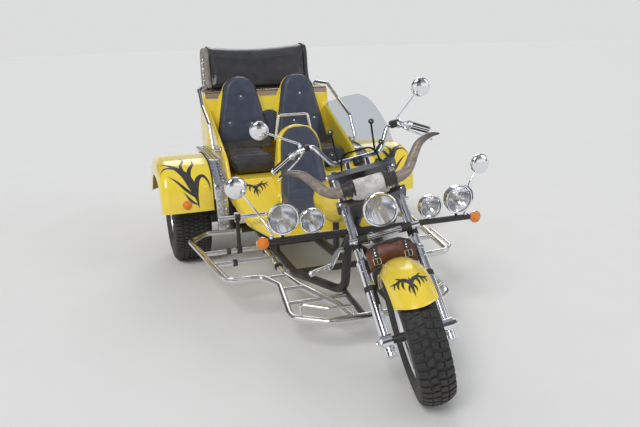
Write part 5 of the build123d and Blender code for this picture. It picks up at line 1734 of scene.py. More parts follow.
def tool_roll():
    """A rolled leather bag between the legs: it droops to its ends, under two straps and a narrow worn
    flap."""
    place = on_axle(on_fork(*TOOL_ROLL_AT), FORK_SIDE)

    def skin(x, turn, lift=0.0):
        end = np.abs(x) / TOOL_ROLL_HALF
        bound = 0.0022 * np.exp(-((np.abs(x) - STRAP_AT) / 0.010) ** 2)
        radius = TOOL_ROLL_R * (1 - 0.08 * end ** 4) - bound
        radius = radius + 0.0016 * np.cos(8 * turn + 3 * end) * end ** 3 + lift
        drop = -0.030 * np.clip((end - 0.45) / 0.55, 0, 1) ** 1.4
        return np.stack([x + 0 * radius, radius * np.cos(turn) * 0.98, radius * np.sin(turn) + drop], -1)
    x = TOOL_ROLL_HALF * np.sin(np.linspace(-np.pi / 2, np.pi / 2, 60))[:, None]
    turn = around(72)[None, :]
    grid = skin(x, turn)
    grid += 0.0011 * ripple(grid, 0.045, 21)[..., None] * unit(grid * [0, 1, 1])
    ends = []
    for row, way in ((0, -1), (-1, 1)):
        middle = grid[row].mean(0)
        rings = ((0.0, -0.010), (0.45, -0.008), (0.80, 0.002), (0.95, 0.0015))
        ends.append(np.stack([middle + (grid[row] - middle) * share + [way * depth, 0, 0] for share,
                              depth in rings]))
    form = Form(place)
    form.sheet(np.concatenate([ends[0], grid, ends[1][::-1]]), wrap_cols=True)
    bag = piece("tool_roll_bag", form, "brown_leather", "fork", ("tool_roll",), 60)
    dark, metal = Form(place), Form(place)
    band = np.linspace(-STRAP_HALF, STRAP_HALF, 5)
    full = np.linspace(0, TAU, 80)[:, None]
    for _, side in SIDES:
        dark.lathe([(0.0, 0.0), (0.0, 0.041), (0.001, 0.040), (0.0015, 0.030), (0.001, 0.0)],
                   (side * 0.1135, 0, -0.030), (side, 0, 0), 40)
        at = side * STRAP_AT + band[None, :]
        dark.slab(skin(at + 0 * full, full + 0 * at, 0.0042 - 0.0006 * np.abs(band / STRAP_HALF) ** 4),
                  skin(at + 0 * full, full + 0 * at, -0.0006))
        out = skin(np.array([side * STRAP_AT]), np.array([np.pi * 1.02]), 0.0055)[0]
        tongue = np.array([(0, 0.0, -0.017), (0, 0.0, 0.017)])
        corners = [(-0.017, -0.015), (0.017, -0.015), (0.017, 0.015), (-0.017, 0.015)]
        loop = looped(even_line(rounded_outline(corners, 0.005, 5), 40, closed=True))
        metal.tube(np.column_stack([out[0] + loop[:, 0], np.full(len(loop), out[1] - 0.001),
                                    out[2] + loop[:, 1]]), 0.0022, 8)
        metal.tube(out + tongue * [1, 1, 0.9] + [0, -0.0015, 0], 0.0016, 8)
        for angle in np.linspace(0.66, 0.86, 3) * np.pi:
            stud = skin(np.array([side * STRAP_AT]), np.array([angle]), 0.0035)[0]
            metal.lathe([(0, 0.0), (0, 0.0048), (0.002, 0.004), (0.003, 0.0)], stud,
                        [0, np.cos(angle), np.sin(angle)], 12)
    flap_half = 0.106
    flap_x = np.linspace(-flap_half, flap_half, 64)[:, None]
    down = np.linspace(0, 1, 26)[None, :]
    worn = 0.16 * np.cos(flap_x / flap_half * np.pi)
    worn = worn + 0.10 * np.sin(flap_x * 71) + 0.07 * np.sin(flap_x * 163 + 1)
    flap_turn = (0.24 + 0.34 * down) * np.pi + worn * down ** 3
    dark.slab(skin(flap_x, flap_turn, 0.0046), skin(flap_x, flap_turn, 0.0012))
    piece("tool_roll_straps", dark, "black_leather", "fork", sharp=50)
    piece("tool_roll_buckles", metal, "chrome", "fork", sharp=40)


# The fork legs: half their distance, and how far they stand ahead of the steering axis
LEG_SPREAD, LEG_AHEAD = 0.141, 0.1


def fork_trim():
    """Seal rings, top caps, pinch clamps with bolts and the dark straps round the legs."""
    bright, dark = Form(), Form()
    for _, side in SIDES:
        across = side * LEG_SPREAD
        for along, rings in ((-0.560, [(-0.004, 0.0272), (-0.002, 0.0302), (0.012, 0.0302), (0.016, 0.0265),
                                       (0.022, 0.0225)]),
                             (-0.600, [(-0.003, 0.0272), (0.0, 0.0285), (0.003, 0.0272)]),
                             (-0.985, [(-0.020, 0.0272), (-0.017, 0.0292), (0.017, 0.0292),
                                       (0.020, 0.0272)])):
            bright.lathe(rings, on_fork(along, LEG_AHEAD, across), STEER_UP, 44)
        bright.lathe([(0.0, 0.0), (0.0, 0.0215), (0.003, 0.0215), (0.006, 0.018), (0.006, 0.0145),
                      (0.014, 0.0135), (0.016, 0.0)],
                     on_fork(-0.030, LEG_AHEAD, across), STEER_UP, 6)
        dark.lathe([(-0.006, 0.0223), (-0.006, 0.0262), (0.036, 0.0262), (0.036, 0.0223)],
                   on_fork(-0.470, LEG_AHEAD, across), STEER_UP, 36, wrap=True)
        dark.lathe([(-0.004, 0.0272), (-0.004, 0.0292), (0.022, 0.0292), (0.022, 0.0272)],
                   on_fork(-0.700, LEG_AHEAD, across), STEER_UP, 36, wrap=True)
        dark.lathe([(-0.024, 0.0133), (-0.024, 0.0205), (0.024, 0.0205), (0.024, 0.0133)],
                   on_fork(-0.452, 0.160, side * 0.110), FORK_SIDE, 32, wrap=True)
        for along in (-0.085, -0.225):
            bright.lathe([(0.0, 0.0), (0.0, 0.0085), (0.007, 0.0085), (0.008, 0.006), (0.008, 0.0)],
                         on_fork(along, 0.1355, side * 0.158), FORK_AHEAD, 6)
    bright.lathe([(0.0, 0.0), (0.0, 0.024), (0.005, 0.024), (0.006, 0.019), (0.016, 0.019), (0.019, 0.015),
                  (0.020, 0.0)],
                 on_fork(-0.0395, 0.0), STEER_UP, 6)
    piece("fork_rings", bright, "chrome", "fork", sharp=30)
    piece("fork_straps", dark, "rubber", "fork", sharp=35)


class TRIKE_OT_fork(bpy.types.Operator):
    """Horns, bar controls, windscreen, tool roll and the fork's trim"""
    bl_idname = "trike.fork"
    bl_label = "Fork and bar"

    def execute(self, context):
        horn_set()
        bar_controls()
        windscreen()
        tool_roll()
        fork_trim()
        return {"FINISHED"}


# Luggage, strips, pegs, engine and plate


ROLL_MIDDLE = np.array([1.675, 1.362])
ROLL_OUTLINE = [(1.782, 1.2045), (1.7885, 1.30), (1.786, 1.43), (1.764, 1.508), (1.702, 1.5365),
                (1.640, 1.5365), (1.590, 1.520), (1.564, 1.475), (1.555, 1.38), (1.548, 1.31),
                (1.524, 1.25), (1.508, 1.222), (1.512, 1.2045)]


def roll_skin(points):
    """The filled roll: its top hangs between the stiff ends, its front swells, and slack runs in from
    the corners."""
    x, y, z = points[..., 0], points[..., 1], points[..., 2]
    middle = np.clip(1 - (x / 0.412) ** 2, 0, 1)
    height = np.clip((z - 1.2045) / 0.332, 0, 1)
    front = np.clip((ROLL_MIDDLE[0] - y) / 0.11, -1, 1)
    slack = 0.0022 * np.sin(26 * np.abs(x) - 14 * height) * step_up(np.abs(x), 0.22, 0.38)
    slack = slack * step_up(height, 0.3, 0.8)
    sag = 0.038 * middle ** 0.8 * step_up(height, 0.35, 1.0)
    swell = 0.014 * middle * np.sin(np.pi * height) * front
    return points + np.stack([0 * x, -swell, -sag - slack * (height > 0.5)], -1)


def luggage():
    """The roll with piped ends, a tan stiff panel on its right end and a covered one on its left."""
    outline = even_line(rounded_outline(ROLL_OUTLINE, 0.03, 6), 110, closed=True)
    form = Form()
    pillow(form, outline, -0.392, 0.4045, 0.010, 90, lambda points, e: roll_skin(points))
    roll = piece("luggage_roll_cover", form, "roll_vinyl", "frame", ("luggage_roll",), 60)
    swollen(roll, 2.0, 0.005)
    piping = Form()
    for x in (-0.393, 0.4055):
        loop = np.column_stack([np.full(len(outline), x), outline])
        loop = roll_skin(loop)
        piping.tube(looped(loop), 0.0048, 8)
    line = np.linspace(-0.375, 0.385, 90)
    seam = np.stack([line, np.full(90, 1.7225), np.full(90, 1.5300)], 1)
    piping.tube(roll_skin(seam) + [0, 0, 0.0015], 0.0026, 8)
    piece("luggage_roll_piping", piping, "black_leather", "frame")
    for label, start, end, finish, scale in (("right", -0.393, -0.4365, "end_cap", 0.955),
                                             ("left", 0.4055, 0.4365, "roll_vinyl", 0.985)):
        inner = ROLL_MIDDLE + (outline - ROLL_MIDDLE) * scale - [0.0, 0.006 if label == "right" else 0.0]
        x = start + (end - start) * np.array([0.0, 0.45, 0.75, 0.93, 1.0, 1.0, 0.90])
        inset = np.array([0.0, 0.0, 0.0015, 0.005, 0.012, 0.022, 0.028])
        half = (outline.max(0) - outline.min(0)) / 2
        rows = ROLL_MIDDLE + (inner - ROLL_MIDDLE) * (1 - inset[:, None] / half)[:, None]
        cap = Form()
        cap.loft(strung(x, rows))
        piece(f"roll_end_panel_{label}", cap, finish, "frame", ("roll_end_caps",), 35)
    studs = Form()
    rim = even_line(ROLL_MIDDLE + (outline - ROLL_MIDDLE) * 0.86 - [0, 0.006], 16, closed=True)
    for y, z in rim:
        studs.lathe([(0.0, 0.0), (0.0, 0.0055), (0.002, 0.0045), (0.003, 0.0)], (-0.4342, y, z), (-1, 0, 0),
                    14)
    piece("roll_end_studs", studs, "chrome", "frame")


def roll_chain():
    """Nine oval links hung from a ring on the end panel to a toggle latch on the tray; every second
    link is turned."""
    form = Form()
    top, low = np.array([-0.4440, 1.612, 1.418]), np.array([-0.4440, 1.590, 1.232])
    along = unit(low - top)
    out = np.array([-1.0, 0, 0])
    flat = np.cross(along, out)
    turn = around(18)
    loop = np.stack([0.0125 * np.cos(turn) + 0.003 * np.sign(np.cos(turn)), 0.0055 * np.sin(turn)], 1)
    for k, at in enumerate(np.linspace(0.0, 1.0, 9)):
        side = flat if k % 2 else out * 0.8 + flat * 0.5
        line = top + (low - top) * at + loop[:, :1] * along + loop[:, 1:] * unit(side)
        form.tube(looped(line), 0.0021, 8)
    for y, z, size in ((1.612, 1.434, 0.011), (1.590, 1.216, 0.013)):
        form.lathe([(0.0, 0.0), (0.0, size), (0.003, size), (0.0045, size * 0.8), (0.0045, 0.0)],
                   (-0.4362, y, z), (-1, 0, 0), 24)
    form.pod((-0.4420, 1.590, 1.222), (0.0055, 0.016, 0.019), 0.3)
    form.pod((-0.4485, 1.590, 1.216), (0.0030, 0.010, 0.024), 0.4)
    piece("roll_chain", form, "chrome", "frame")


TRAY_HALF = 0.492
# The middle of a tread strip, across the vehicle
STRIP_X = 0.5475


def shelf_tray():
    """The polished tray under the roll: a thin plate with a rolled lip over the shelf's front edge and
    a rear fold."""
    section = np.array([(1.2585, 1.148), (1.2575, 1.152), (1.2600, 1.185), (1.2625, 1.1945),
                        (1.2690, 1.1995), (1.2780, 1.2005), (1.50, 1.1990), (1.672, 1.1985),
                        (1.680, 1.1950), (1.681, 1.168), (1.677, 1.168), (1.676, 1.1935),
                        (1.50, 1.1955), (1.282, 1.1965), (1.272, 1.1940), (1.267, 1.186), (1.264, 1.152)])
    section = even_line(section, 170, closed=True)
    x = TRAY_HALF * np.sin(np.linspace(-np.pi / 2, np.pi / 2, 40))
    inset = 0.006 * (1 - rounded_edge(TRAY_HALF - np.abs(x), 0.012))
    form = Form()
    rows = section[None] + np.stack([0 * inset, -inset * 0.3], 1)[:, None]
    form.loft(strung(x, rows))
    # The tray's brown metal colour is a painted reflection.
    piece("shelf_tray", form, "tray_brown_reflection", "frame", sharp=30)
    bead = Form()
    for y, z, radius in ((1.2580, 1.1495, 0.0030), (1.2655, 1.1985, 0.0016)):
        bead.tube([(-0.489, y, z), (0.0, y, z + 0.00001), (0.489, y, z)], radius, 10)
    piece("shelf_bead", bead, "chrome", "frame")


STRIP_PATH = [(0.4625, 0.3260), (0.484, 0.640), (0.700, 0.7803), (1.300, 0.7803)]


def tread_strip(label, side):
    """A strip of tread plate bent over the step: folded edges, and raised lozenges that lie this way
    and that."""
    path = np.array(STRIP_PATH)
    bends = []
    for before, corner, after in zip(path, path[1:], path[2:]):
        a, b = corner + unit(before - corner) * 0.035, corner + unit(after - corner) * 0.035
        t = np.linspace(0, 1, 12)[:, None]
        bends.append((1 - t) ** 2 * a + 2 * t * (1 - t) * corner + t ** 2 * b)
    line = even_line(np.concatenate([path[:1], *bends, path[-1:]]), 160)
    run = run_along(line)
    way = heading(line)

    def at(s, x, lift):
        y, z = np.interp(s, run, line[:, 0]), np.interp(s, run, line[:, 1])
        ty, tz = np.interp(s, run, way[:, 0]), np.interp(s, run, way[:, 1])
        return np.stack([side * x + 0 * y, y - tz * lift, z + ty * lift], -1)
    s = run[:, None]
    across = np.array([0.5065, 0.5065, 0.5073, 0.5090, STRIP_X, 0.5860, 0.5877, 0.5885, 0.5885])[None, :]
    lift = np.array([-0.016, -0.003, -0.0012, -0.0004, 0.0, -0.0004, -0.0012, -0.003, -0.016])[None, :]
    form = Form()
    form.slab(at(s + 0 * across, across + 0 * s, lift + 0 * s),
              at(s + 0 * across, STRIP_X + (across - STRIP_X) * 0.95 + 0 * s, lift - 0.0022 + 0 * s))
    count = int(run[-1] / 0.030)
    spots = (np.arange(count) + 0.7) * run[-1] / (count + 0.5)
    corner = np.array([(1.0, 0.0), (0.5, 0.78), (-0.5, 0.78), (-1.0, 0.0), (-0.5, -0.78), (0.5, -0.78)])
    for row, shift in ((0.5235, 0), (STRIP_X, 1), (0.5715, 0)):
        lean = np.where((np.arange(count) + shift) % 2, 0.75, -0.75)[:, None, None]
        size = np.array([1.0, 1.0, 0.72, 0.0])[None, :, None]
        rise = np.array([-0.0006, 0.0004, 0.0026, 0.0030])[None, :, None]
        p, q = corner[None, None, :, 0] * 0.0140 * size, corner[None, None, :, 1] * 0.0056 * size
        form.copies(at(spots[:, None, None] + p * np.cos(lean) - q * np.sin(lean),
                       row + p * np.sin(lean) + q * np.cos(lean), rise + 0 * p))
    piece(f"tread_strip_plate_{label}", form, "tread_plate", "frame",
          (f"tread_strip_{label}",), 25)
    screws = Form()
    for share in (0.06, 0.30, 0.55, 0.78, 0.95):
        foot = at(np.array([share * run[-1]]), np.array([STRIP_X]), np.array([0.0]))[0]
        above = at(np.array([share * run[-1]]), np.array([STRIP_X]), np.array([0.01]))[0]
        screws.lathe([(0.0, 0.0), (0.0, 0.0062), (0.0022, 0.0052), (0.0034, 0.0)], foot, above - foot, 18)
    piece(f"tread_strip_screws_{label}", screws, "stainless", "frame")


PINCH_WAY = (0.0, 0.35, 0.94)


def pegs():
    """The rider's pegs: a flat cranked arm, a clamp with its bolt, and a ribbed metal sleeve with a
    plated end."""
    arms, sleeves, clamps = Form(), Form(), Form()
    for _, side in SIDES:
        rows = smooth_line([(0.1203, -0.750, 0.500, 0.013, 0.013), (0.136, -0.750, 0.500, 0.0125, 0.0125),
                            (0.152, -0.753, 0.496, 0.016, 0.0075), (0.180, -0.770, 0.463, 0.0175, 0.0060),
                            (0.203, -0.786, 0.435, 0.0160, 0.0065), (0.216, -0.790, 0.428, 0.012, 0.010)],
                           40)
        line = rows[:, :3] * [side, 1, 1]
        way = heading(line)
        wide = unit(np.cross(way, [side * 0.45, -0.3, 0.85]))
        thick = np.cross(way, wide)
        turn = around(24)
        arms.loft(line[:, None] + blunt(np.cos(turn),
                                        0.6)[None, :, None] * rows[:, 3, None, None] * wide[:, None]
                  + blunt(np.sin(turn), 0.6)[None, :, None] * rows[:, 4, None, None] * thick[:, None])
        foot, end = np.array([side * 0.207, -0.790, 0.430]), np.array([side * 0.332, -0.795, 0.404])
        along = unit(end - foot)
        clamps.lathe([(-0.004, 0.0), (-0.004, 0.0150), (-0.001, 0.0175), (0.016, 0.0175), (0.019, 0.0150),
                      (0.019, 0.0)], foot, along, 32)
        clamps.lathe([(-0.019, 0.0), (-0.019, 0.0065), (0.019, 0.0065), (0.019, 0.0)], foot + 0.008 * along,
                     PINCH_WAY, 6)
        clamps.lathe([(-0.015, 0.0), (-0.015, 0.0085), (0.015, 0.0085), (0.015, 0.0)], foot + 0.008 * along,
                     PINCH_WAY, 20)
        ribs = [(0.019, 0.0), (0.019, 0.0125)]
        for k in range(9):
            ribs += [(0.022 + 0.0105 * k, 0.0125), (0.0235 + 0.0105 * k, 0.0158),
                     (0.0285 + 0.0105 * k, 0.0158), (0.0300 + 0.0105 * k, 0.0125)]
        sleeves.lathe(ribs + [(0.117, 0.0125), (0.117, 0.0)], foot, along, 36)
        clamps.lathe([(0.115, 0.0), (0.115, 0.0155), (0.119, 0.0165), (0.123, 0.0150), (0.1265, 0.009),
                      (0.1275, 0.0)], foot, along, 36)
    piece("peg_arms", arms, "stainless", "frame", ("rider_pegs",), 45)
    piece("peg_clamps", clamps, "chrome", "frame", sharp=30)
    piece("peg_sleeves", sleeves, "stainless", "frame", sharp=30)


def rests():
    """The passengers' foot rests: a plated bar with rolled ends and a black ring, on a black post with
    two collars."""
    bars, posts = Form(), Form()
    for _, side in SIDES:
        start, end = np.array([side * 0.336, 0.060, 0.520]), np.array([side * 0.655, 0.060, 0.520])
        bars.lathe([(0.0, 0.0), (0.0, 0.0105), (0.003, 0.0135), (0.010, 0.0138), (0.013, 0.0122),
                    (0.300, 0.0122), (0.306, 0.0138), (0.314, 0.0138), (0.319, 0.0105), (0.319, 0.0)],
                   start, end - start, 40)
        for k in range(6):
            bars.lathe([(-0.0022, 0.0122), (-0.0012, 0.0140), (0.0012, 0.0140), (0.0022, 0.0122)],
                       start + [side * (0.030 + 0.012 * k), 0, 0], end - start, 36, wrap=True)
        post = np.array([side * 0.530, 0.060, 0.3152])
        posts.lathe([(0.0, 0.0), (0.0, 0.0205), (0.006, 0.0205), (0.010, 0.0150), (0.020, 0.0128),
                     (0.176, 0.0128), (0.184, 0.0165), (0.196, 0.0165), (0.2048, 0.0130), (0.2048, 0.0)],
                    post, (0, 0, 1), 36)
        posts.lathe([(-0.017, 0.0124), (-0.017, 0.0185), (-0.014, 0.0198), (0.014, 0.0198), (0.017, 0.0185),
                     (0.017, 0.0124)],
                    (side * 0.530, 0.060, 0.520), (1, 0, 0), 40, wrap=True)
        posts.lathe([(-0.016, 0.0152), (-0.016, 0.0205), (-0.013, 0.0218), (0.013, 0.0218), (0.016, 0.0205),
                     (0.016, 0.0152)],
                    (side * 0.530, 0.060, 0.300), (1, 0, 0), 40, wrap=True)
    piece("rest_bars", bars, "chrome", "frame", ("passenger_rests",), 30)
    piece("rest_posts", posts, "black_frame", "frame", sharp=30)


def tube_fittings():
    """Collars, feet and bolts on the tubes: black clamp rings on the side bars, flanges under the grab
    rails."""
    black, bright, rails = Form(), Form(), Form()
    for _, side in SIDES:
        for x, y, z, axis, radius in ((0.600, 0.060, 0.300, (1, 0, 0), 0.015),
                                      (0.600, -0.145, 0.292, (1, 0, 0), 0.015),
                                      (0.362, 0.060, 0.285, (0, 1, 0), 0.019),
                                      (0.362, -0.245, 0.2766, (0, 1, 0.04), 0.019)):
            black.lathe([(-0.013, radius), (-0.013, radius + 0.005), (-0.010, radius + 0.0065),
                         (0.010, radius + 0.0065), (0.013, radius + 0.005), (0.013, radius)],
                        (side * x, y - 0.030 * (axis[1] > 0), z), axis, 36, wrap=True)
        foot = np.array([side * 0.470, 1.480, 1.1985])
        bright.lathe([(0.0, 0.0), (0.0, 0.0260), (0.003, 0.0265), (0.006, 0.0220), (0.010, 0.0155),
                      (0.022, 0.0145), (0.024, 0.0125)],
                     foot, (0, 0, 1), 40)
        for turn in np.arange(3) * TAU / 3 + 0.5:
            bright.lathe([(0.0, 0.0), (0.0, 0.0040), (0.0022, 0.0030), (0.0028, 0.0)],
                         foot + [0.0212 * np.cos(turn), 0.0212 * np.sin(turn), 0.0035], (0, 0, 1), 12)
        bright.lathe([(0.0, 0.0), (0.0, 0.0250), (0.003, 0.0255), (0.006, 0.0210), (0.010, 0.0150),
                      (0.020, 0.0140), (0.022, 0.0125)],
                     (side * 0.4924, 0.738, 0.838), (side, 0, 0), 40)
        bright.lathe([(0.0, 0.0), (0.0, 0.0205), (0.003, 0.0205), (0.006, 0.0125), (0.010, 0.0105)],
                     (side * 0.130, 0.5105, 0.930), (0, 1, 0), 32)
        guard = [(-0.7570, -0.040, 0.296), (-0.7690, -0.056, 0.313), (-0.7680, -0.104, 0.3155),
                 (-0.739, -0.343, 0.3125), (-0.7230, -0.407, 0.3110), (-0.6740, -0.450, 0.3090),
                 (-0.6000, -0.4545, 0.3040), (-0.5760, -0.448, 0.2990), (-0.5700, -0.434, 0.2860)]
        rails.tube(smooth_line(np.array(guard) * [-side, 1, 1], 90), 0.0075, 14)
    piece("side_guards", rails, "stainless", "frame", sharp=0)
    piece("tube_collars", black, "black_frame", "frame", sharp=30)
    piece("tube_flanges", bright, "chrome", "frame", sharp=30)


# Heights of the crankshaft and the fan, and the cylinders' places along the vehicle
CRANK_Z, FAN_Z, CYLINDERS = 0.372, 0.548, (1.225, 1.430)


def engine():
    """An air-cooled flat engine in its bay: case, fan housing, finned cylinders, covers, pulleys with
    their belt."""
    case, tin, alloy, black, belt = Form(), Form(), Form(), Form(), Form()
    case.pod((0.0, 1.335, CRANK_Z), (0.118, 0.205, 0.105), 0.35, 26, 40)
    case.pod((0.0, 1.330, 0.284), (0.085, 0.170, 0.022), 0.3, 16, 40)
    for k in range(12):
        case.pod((0.0, 1.190 + 0.026 * k, 0.2685), (0.078, 0.0035, 0.008), 0.4, 8, 12)
    for _, side in SIDES:
        for y in CYLINDERS:
            for k in range(13):
                x = 0.122 + 0.0098 * k
                alloy.lathe([(-0.0016, 0.0), (-0.0016, 0.062), (0.0, 0.0645), (0.0016, 0.062),
                             (0.0016, 0.0)], (side * x, y, CRANK_Z), (side, 0, 0), 30)
            alloy.lathe([(0.0, 0.0), (0.0, 0.047), (0.132, 0.047), (0.132, 0.0)],
                        (side * 0.116, y, CRANK_Z), (side, 0, 0), 24)
        alloy.pod((side * 0.262, 1.328, CRANK_Z), (0.020, 0.178, 0.064), 0.3, 20, 40)
        for k in range(15):
            alloy.pod((side * 0.262, 1.176 + 0.0215 * k, CRANK_Z), (0.0235, 0.0030, 0.066), 0.35, 10, 14)
        tin.pod((side * 0.2905, 1.328, 0.352), (0.0190, 0.160, 0.042), 0.4, 20, 40)
        tin.tube(smooth_line([(side * 0.306, 1.200, 0.345), (side * 0.3085, 1.328, 0.322),
                              (side * 0.306, 1.456, 0.345)], 30), 0.0016, 8)
        tin.loft([np.column_stack([side * (0.125 + 0.150 * t + 0 * a),
                                   1.328 + 0.172 * blunt(np.cos(a), 0.4),
                                   0.452 - 0.012 * t + 0.010 * blunt(np.sin(a), 0.4)])
                  for t in np.linspace(0, 1, 12) for a in (around(40),)])
        black.tube(smooth_line([(side * 0.050, 1.235, 0.540), (side * 0.135, 1.232, 0.545),
                                (side * 0.215, 1.250, 0.505), (side * 0.235, 1.262, 0.455)],
                               40), 0.0125, 16)
        for y in CYLINDERS:
            black.tube(smooth_line([(side * 0.060, 1.400, 0.585), (side * 0.150, y + 0.03, 0.560),
                                    (side * 0.215, y + 0.01, 0.480), (side * 0.225, y, 0.452)], 36), 0.0042,
                       8)
    turn = around(60)
    tin.loft([np.column_stack([0.150 * grow * blunt(np.cos(turn), 0.75), 0 * turn + y,
                               0.518 + 0.098 * grow * blunt(np.sin(turn), 0.75)])
              for y, grow in ((1.255, 0.80), (1.262, 0.93), (1.275, 0.985), (1.340, 1.0), (1.352, 0.97),
                              (1.358, 0.86))])
    alloy.lathe([(0.0, 0.0), (0.0, 0.050), (0.010, 0.054), (0.085, 0.054), (0.092, 0.046), (0.098, 0.020),
                 (0.098, 0.0)], (0.0, 1.358, FAN_Z),
                (0, 1, 0), 44)
    for k in range(22):
        angle = k * TAU / 22
        alloy.pod((0.0555 * np.cos(angle), 1.405, FAN_Z + 0.0555 * np.sin(angle)), (0.0022, 0.038, 0.0022),
                  0.5, 6, 8)
    for z, radius in ((FAN_Z, 0.044), (CRANK_Z, 0.084)):
        black.lathe([(0.0, 0.0), (0.0, radius * 0.92), (0.003, radius), (0.006, radius),
                     (0.011, radius * 0.86), (0.016, radius), (0.019, radius), (0.022, radius * 0.92),
                     (0.022, radius * 0.62), (0.016, radius * 0.55), (0.016, radius * 0.3),
                     (0.026, radius * 0.26), (0.028, 0.0)], (0.0, 1.5285, z), (0, 1, 0), 60)
    alloy.lathe([(0.0, 0.0), (0.0, 0.020), (0.080, 0.020), (0.080, 0.0)], (0.0, 1.450, FAN_Z), (0, 1, 0),
                28)
    ring = around(120)
    reach = np.where(np.sin(ring) > 0, 0.0405, 0.0785)
    path = np.column_stack([reach * np.cos(ring), np.full(120, 1.5395),
                            np.where(np.sin(ring) > 0, FAN_Z, CRANK_Z) + reach * np.sin(ring)])
    path = even_line(path, 140, closed=True)
    belt.tube(looped(path), 0.0052, 8)
    tin.lathe([(0.0, 0.0), (0.0, 0.072), (0.006, 0.078), (0.040, 0.078), (0.046, 0.072), (0.046, 0.030),
               (0.052, 0.026), (0.052, 0.0)],
              (-0.205, 1.405, 0.5665), (0, 0, 1), 60)
    for k in range(26):
        angle = k * TAU / 26
        tin.pod((-0.205 + 0.0785 * np.cos(angle), 1.405 + 0.0785 * np.sin(angle), 0.590),
                (0.0016, 0.0016, 0.015), 0.6, 6, 6)
    alloy.pod((-0.205, 1.405, 0.538), (0.030, 0.034, 0.028), 0.5)
    alloy.tube(smooth_line([(-0.205, 1.405, 0.520), (-0.180, 1.380, 0.497), (-0.100, 1.372, 0.482),
                            (0.0, 1.375, 0.470)], 30), 0.015, 16)
    black.lathe([(0.0, 0.0), (0.0, 0.030), (0.004, 0.034), (0.075, 0.034), (0.082, 0.026), (0.082, 0.0)],
                (0.190, 1.500, 0.480), (0, 0, 1), 36)
    alloy.lathe([(0.0, 0.0), (0.0, 0.030), (0.030, 0.030), (0.034, 0.026), (0.052, 0.026), (0.056, 0.018),
                 (0.056, 0.0)], (0.110, 1.475, 0.465),
                (0.1, 0.15, 1.0), 32)
    alloy.lathe([(0.0, 0.0), (0.0, 0.024), (0.040, 0.024), (0.044, 0.021), (0.044, 0.0)],
                (-0.085, 1.440, 0.470), (-0.15, 0.0, 1.0), 28)
    tin.lathe([(0.0, 0.0), (0.0, 0.0215), (0.012, 0.0245), (0.018, 0.0200), (0.020, 0.0)],
              (-0.090, 1.440, 0.512), (-0.15, 0.0, 1.0), 12)
    piece("engine_case", case, "cast_metal", "frame", ("engine",), 40)
    piece("engine_alloy", alloy, "cast_metal", "frame", sharp=30)
    piece("engine_tin", tin, "black_plastic", "frame", sharp=35)
    piece("engine_hoses", black, "rubber", "frame", sharp=35)
    piece("engine_belt", belt, "rubber", "frame", sharp=0)


PLATE_HALF, PLATE_CORNER = (0.1395, 0.0995), 0.012


def number_plate():
    """A blank plate: pressed border, four screws with caps, and the pressed middle left plain."""
    tilt = unit([0, 0.520, 0.040])
    up = unit(np.cross([1.0, 0, 0], tilt))
    up = up * np.sign(up[2])
    centre = np.array([0, 1.7326, 0.700])
    u, v = np.linspace(-1, 1, 97)[None, :], np.linspace(-1, 1, 73)[:, None]
    x, z = PLATE_HALF[0] * u + 0 * v, PLATE_HALF[1] * v + 0 * u
    flat_x, flat_z = PLATE_HALF[0] - PLATE_CORNER, PLATE_HALF[1] - PLATE_CORNER
    corner = np.hypot(np.clip(np.abs(x) - flat_x, 0, None), np.clip(np.abs(z) - flat_z, 0, None))
    pull = np.where(corner > PLATE_CORNER, PLATE_CORNER / np.maximum(corner, 1e-9), 1.0)
    x = np.sign(x) * (np.minimum(np.abs(x), flat_x) + np.clip(np.abs(x) - flat_x, 0, None) * pull)
    z = np.sign(z) * (np.minimum(np.abs(z), flat_z) + np.clip(np.abs(z) - flat_z, 0, None) * pull)
    edge = np.minimum(PLATE_HALF[0] - np.abs(x), PLATE_HALF[1] - np.abs(z))
    press = 0.0016 * (step_up(edge, 0.004, 0.006)
                      - step_up(edge, 0.009, 0.011)) + 0.0004 * ripple(np.stack([x, 0 * x, z], -1), 0.12, 4)
    form = Form()
    face = centre + x[..., None] * [1.0, 0, 0] + z[..., None] * up + (0.0040 + press)[..., None] * tilt
    form.slab(face, face - 0.0018 * tilt)
    piece("number_plate_blank", form, "plate", "frame", ("number_plate",), 40)
    bits = Form()
    for sx in (-0.105, 0.105):
        for sz in (-0.078, 0.078):
            bits.lathe([(0.0, 0.0), (0.0, 0.0075), (0.0025, 0.0070), (0.0042, 0.0)],
                       centre + [sx, 0, 0] + sz * up + 0.0040 * tilt, tilt, 20)
    bits.slab(*[centre + np.stack([x * 0.82, 0 * x, 0 * x], -1) + (z * 0.80)[..., None] * up + depth * tilt
                for depth in (0.0019, 0.0002)])
    piece("number_plate_fittings", bits, "black_plastic", "frame", sharp=30)


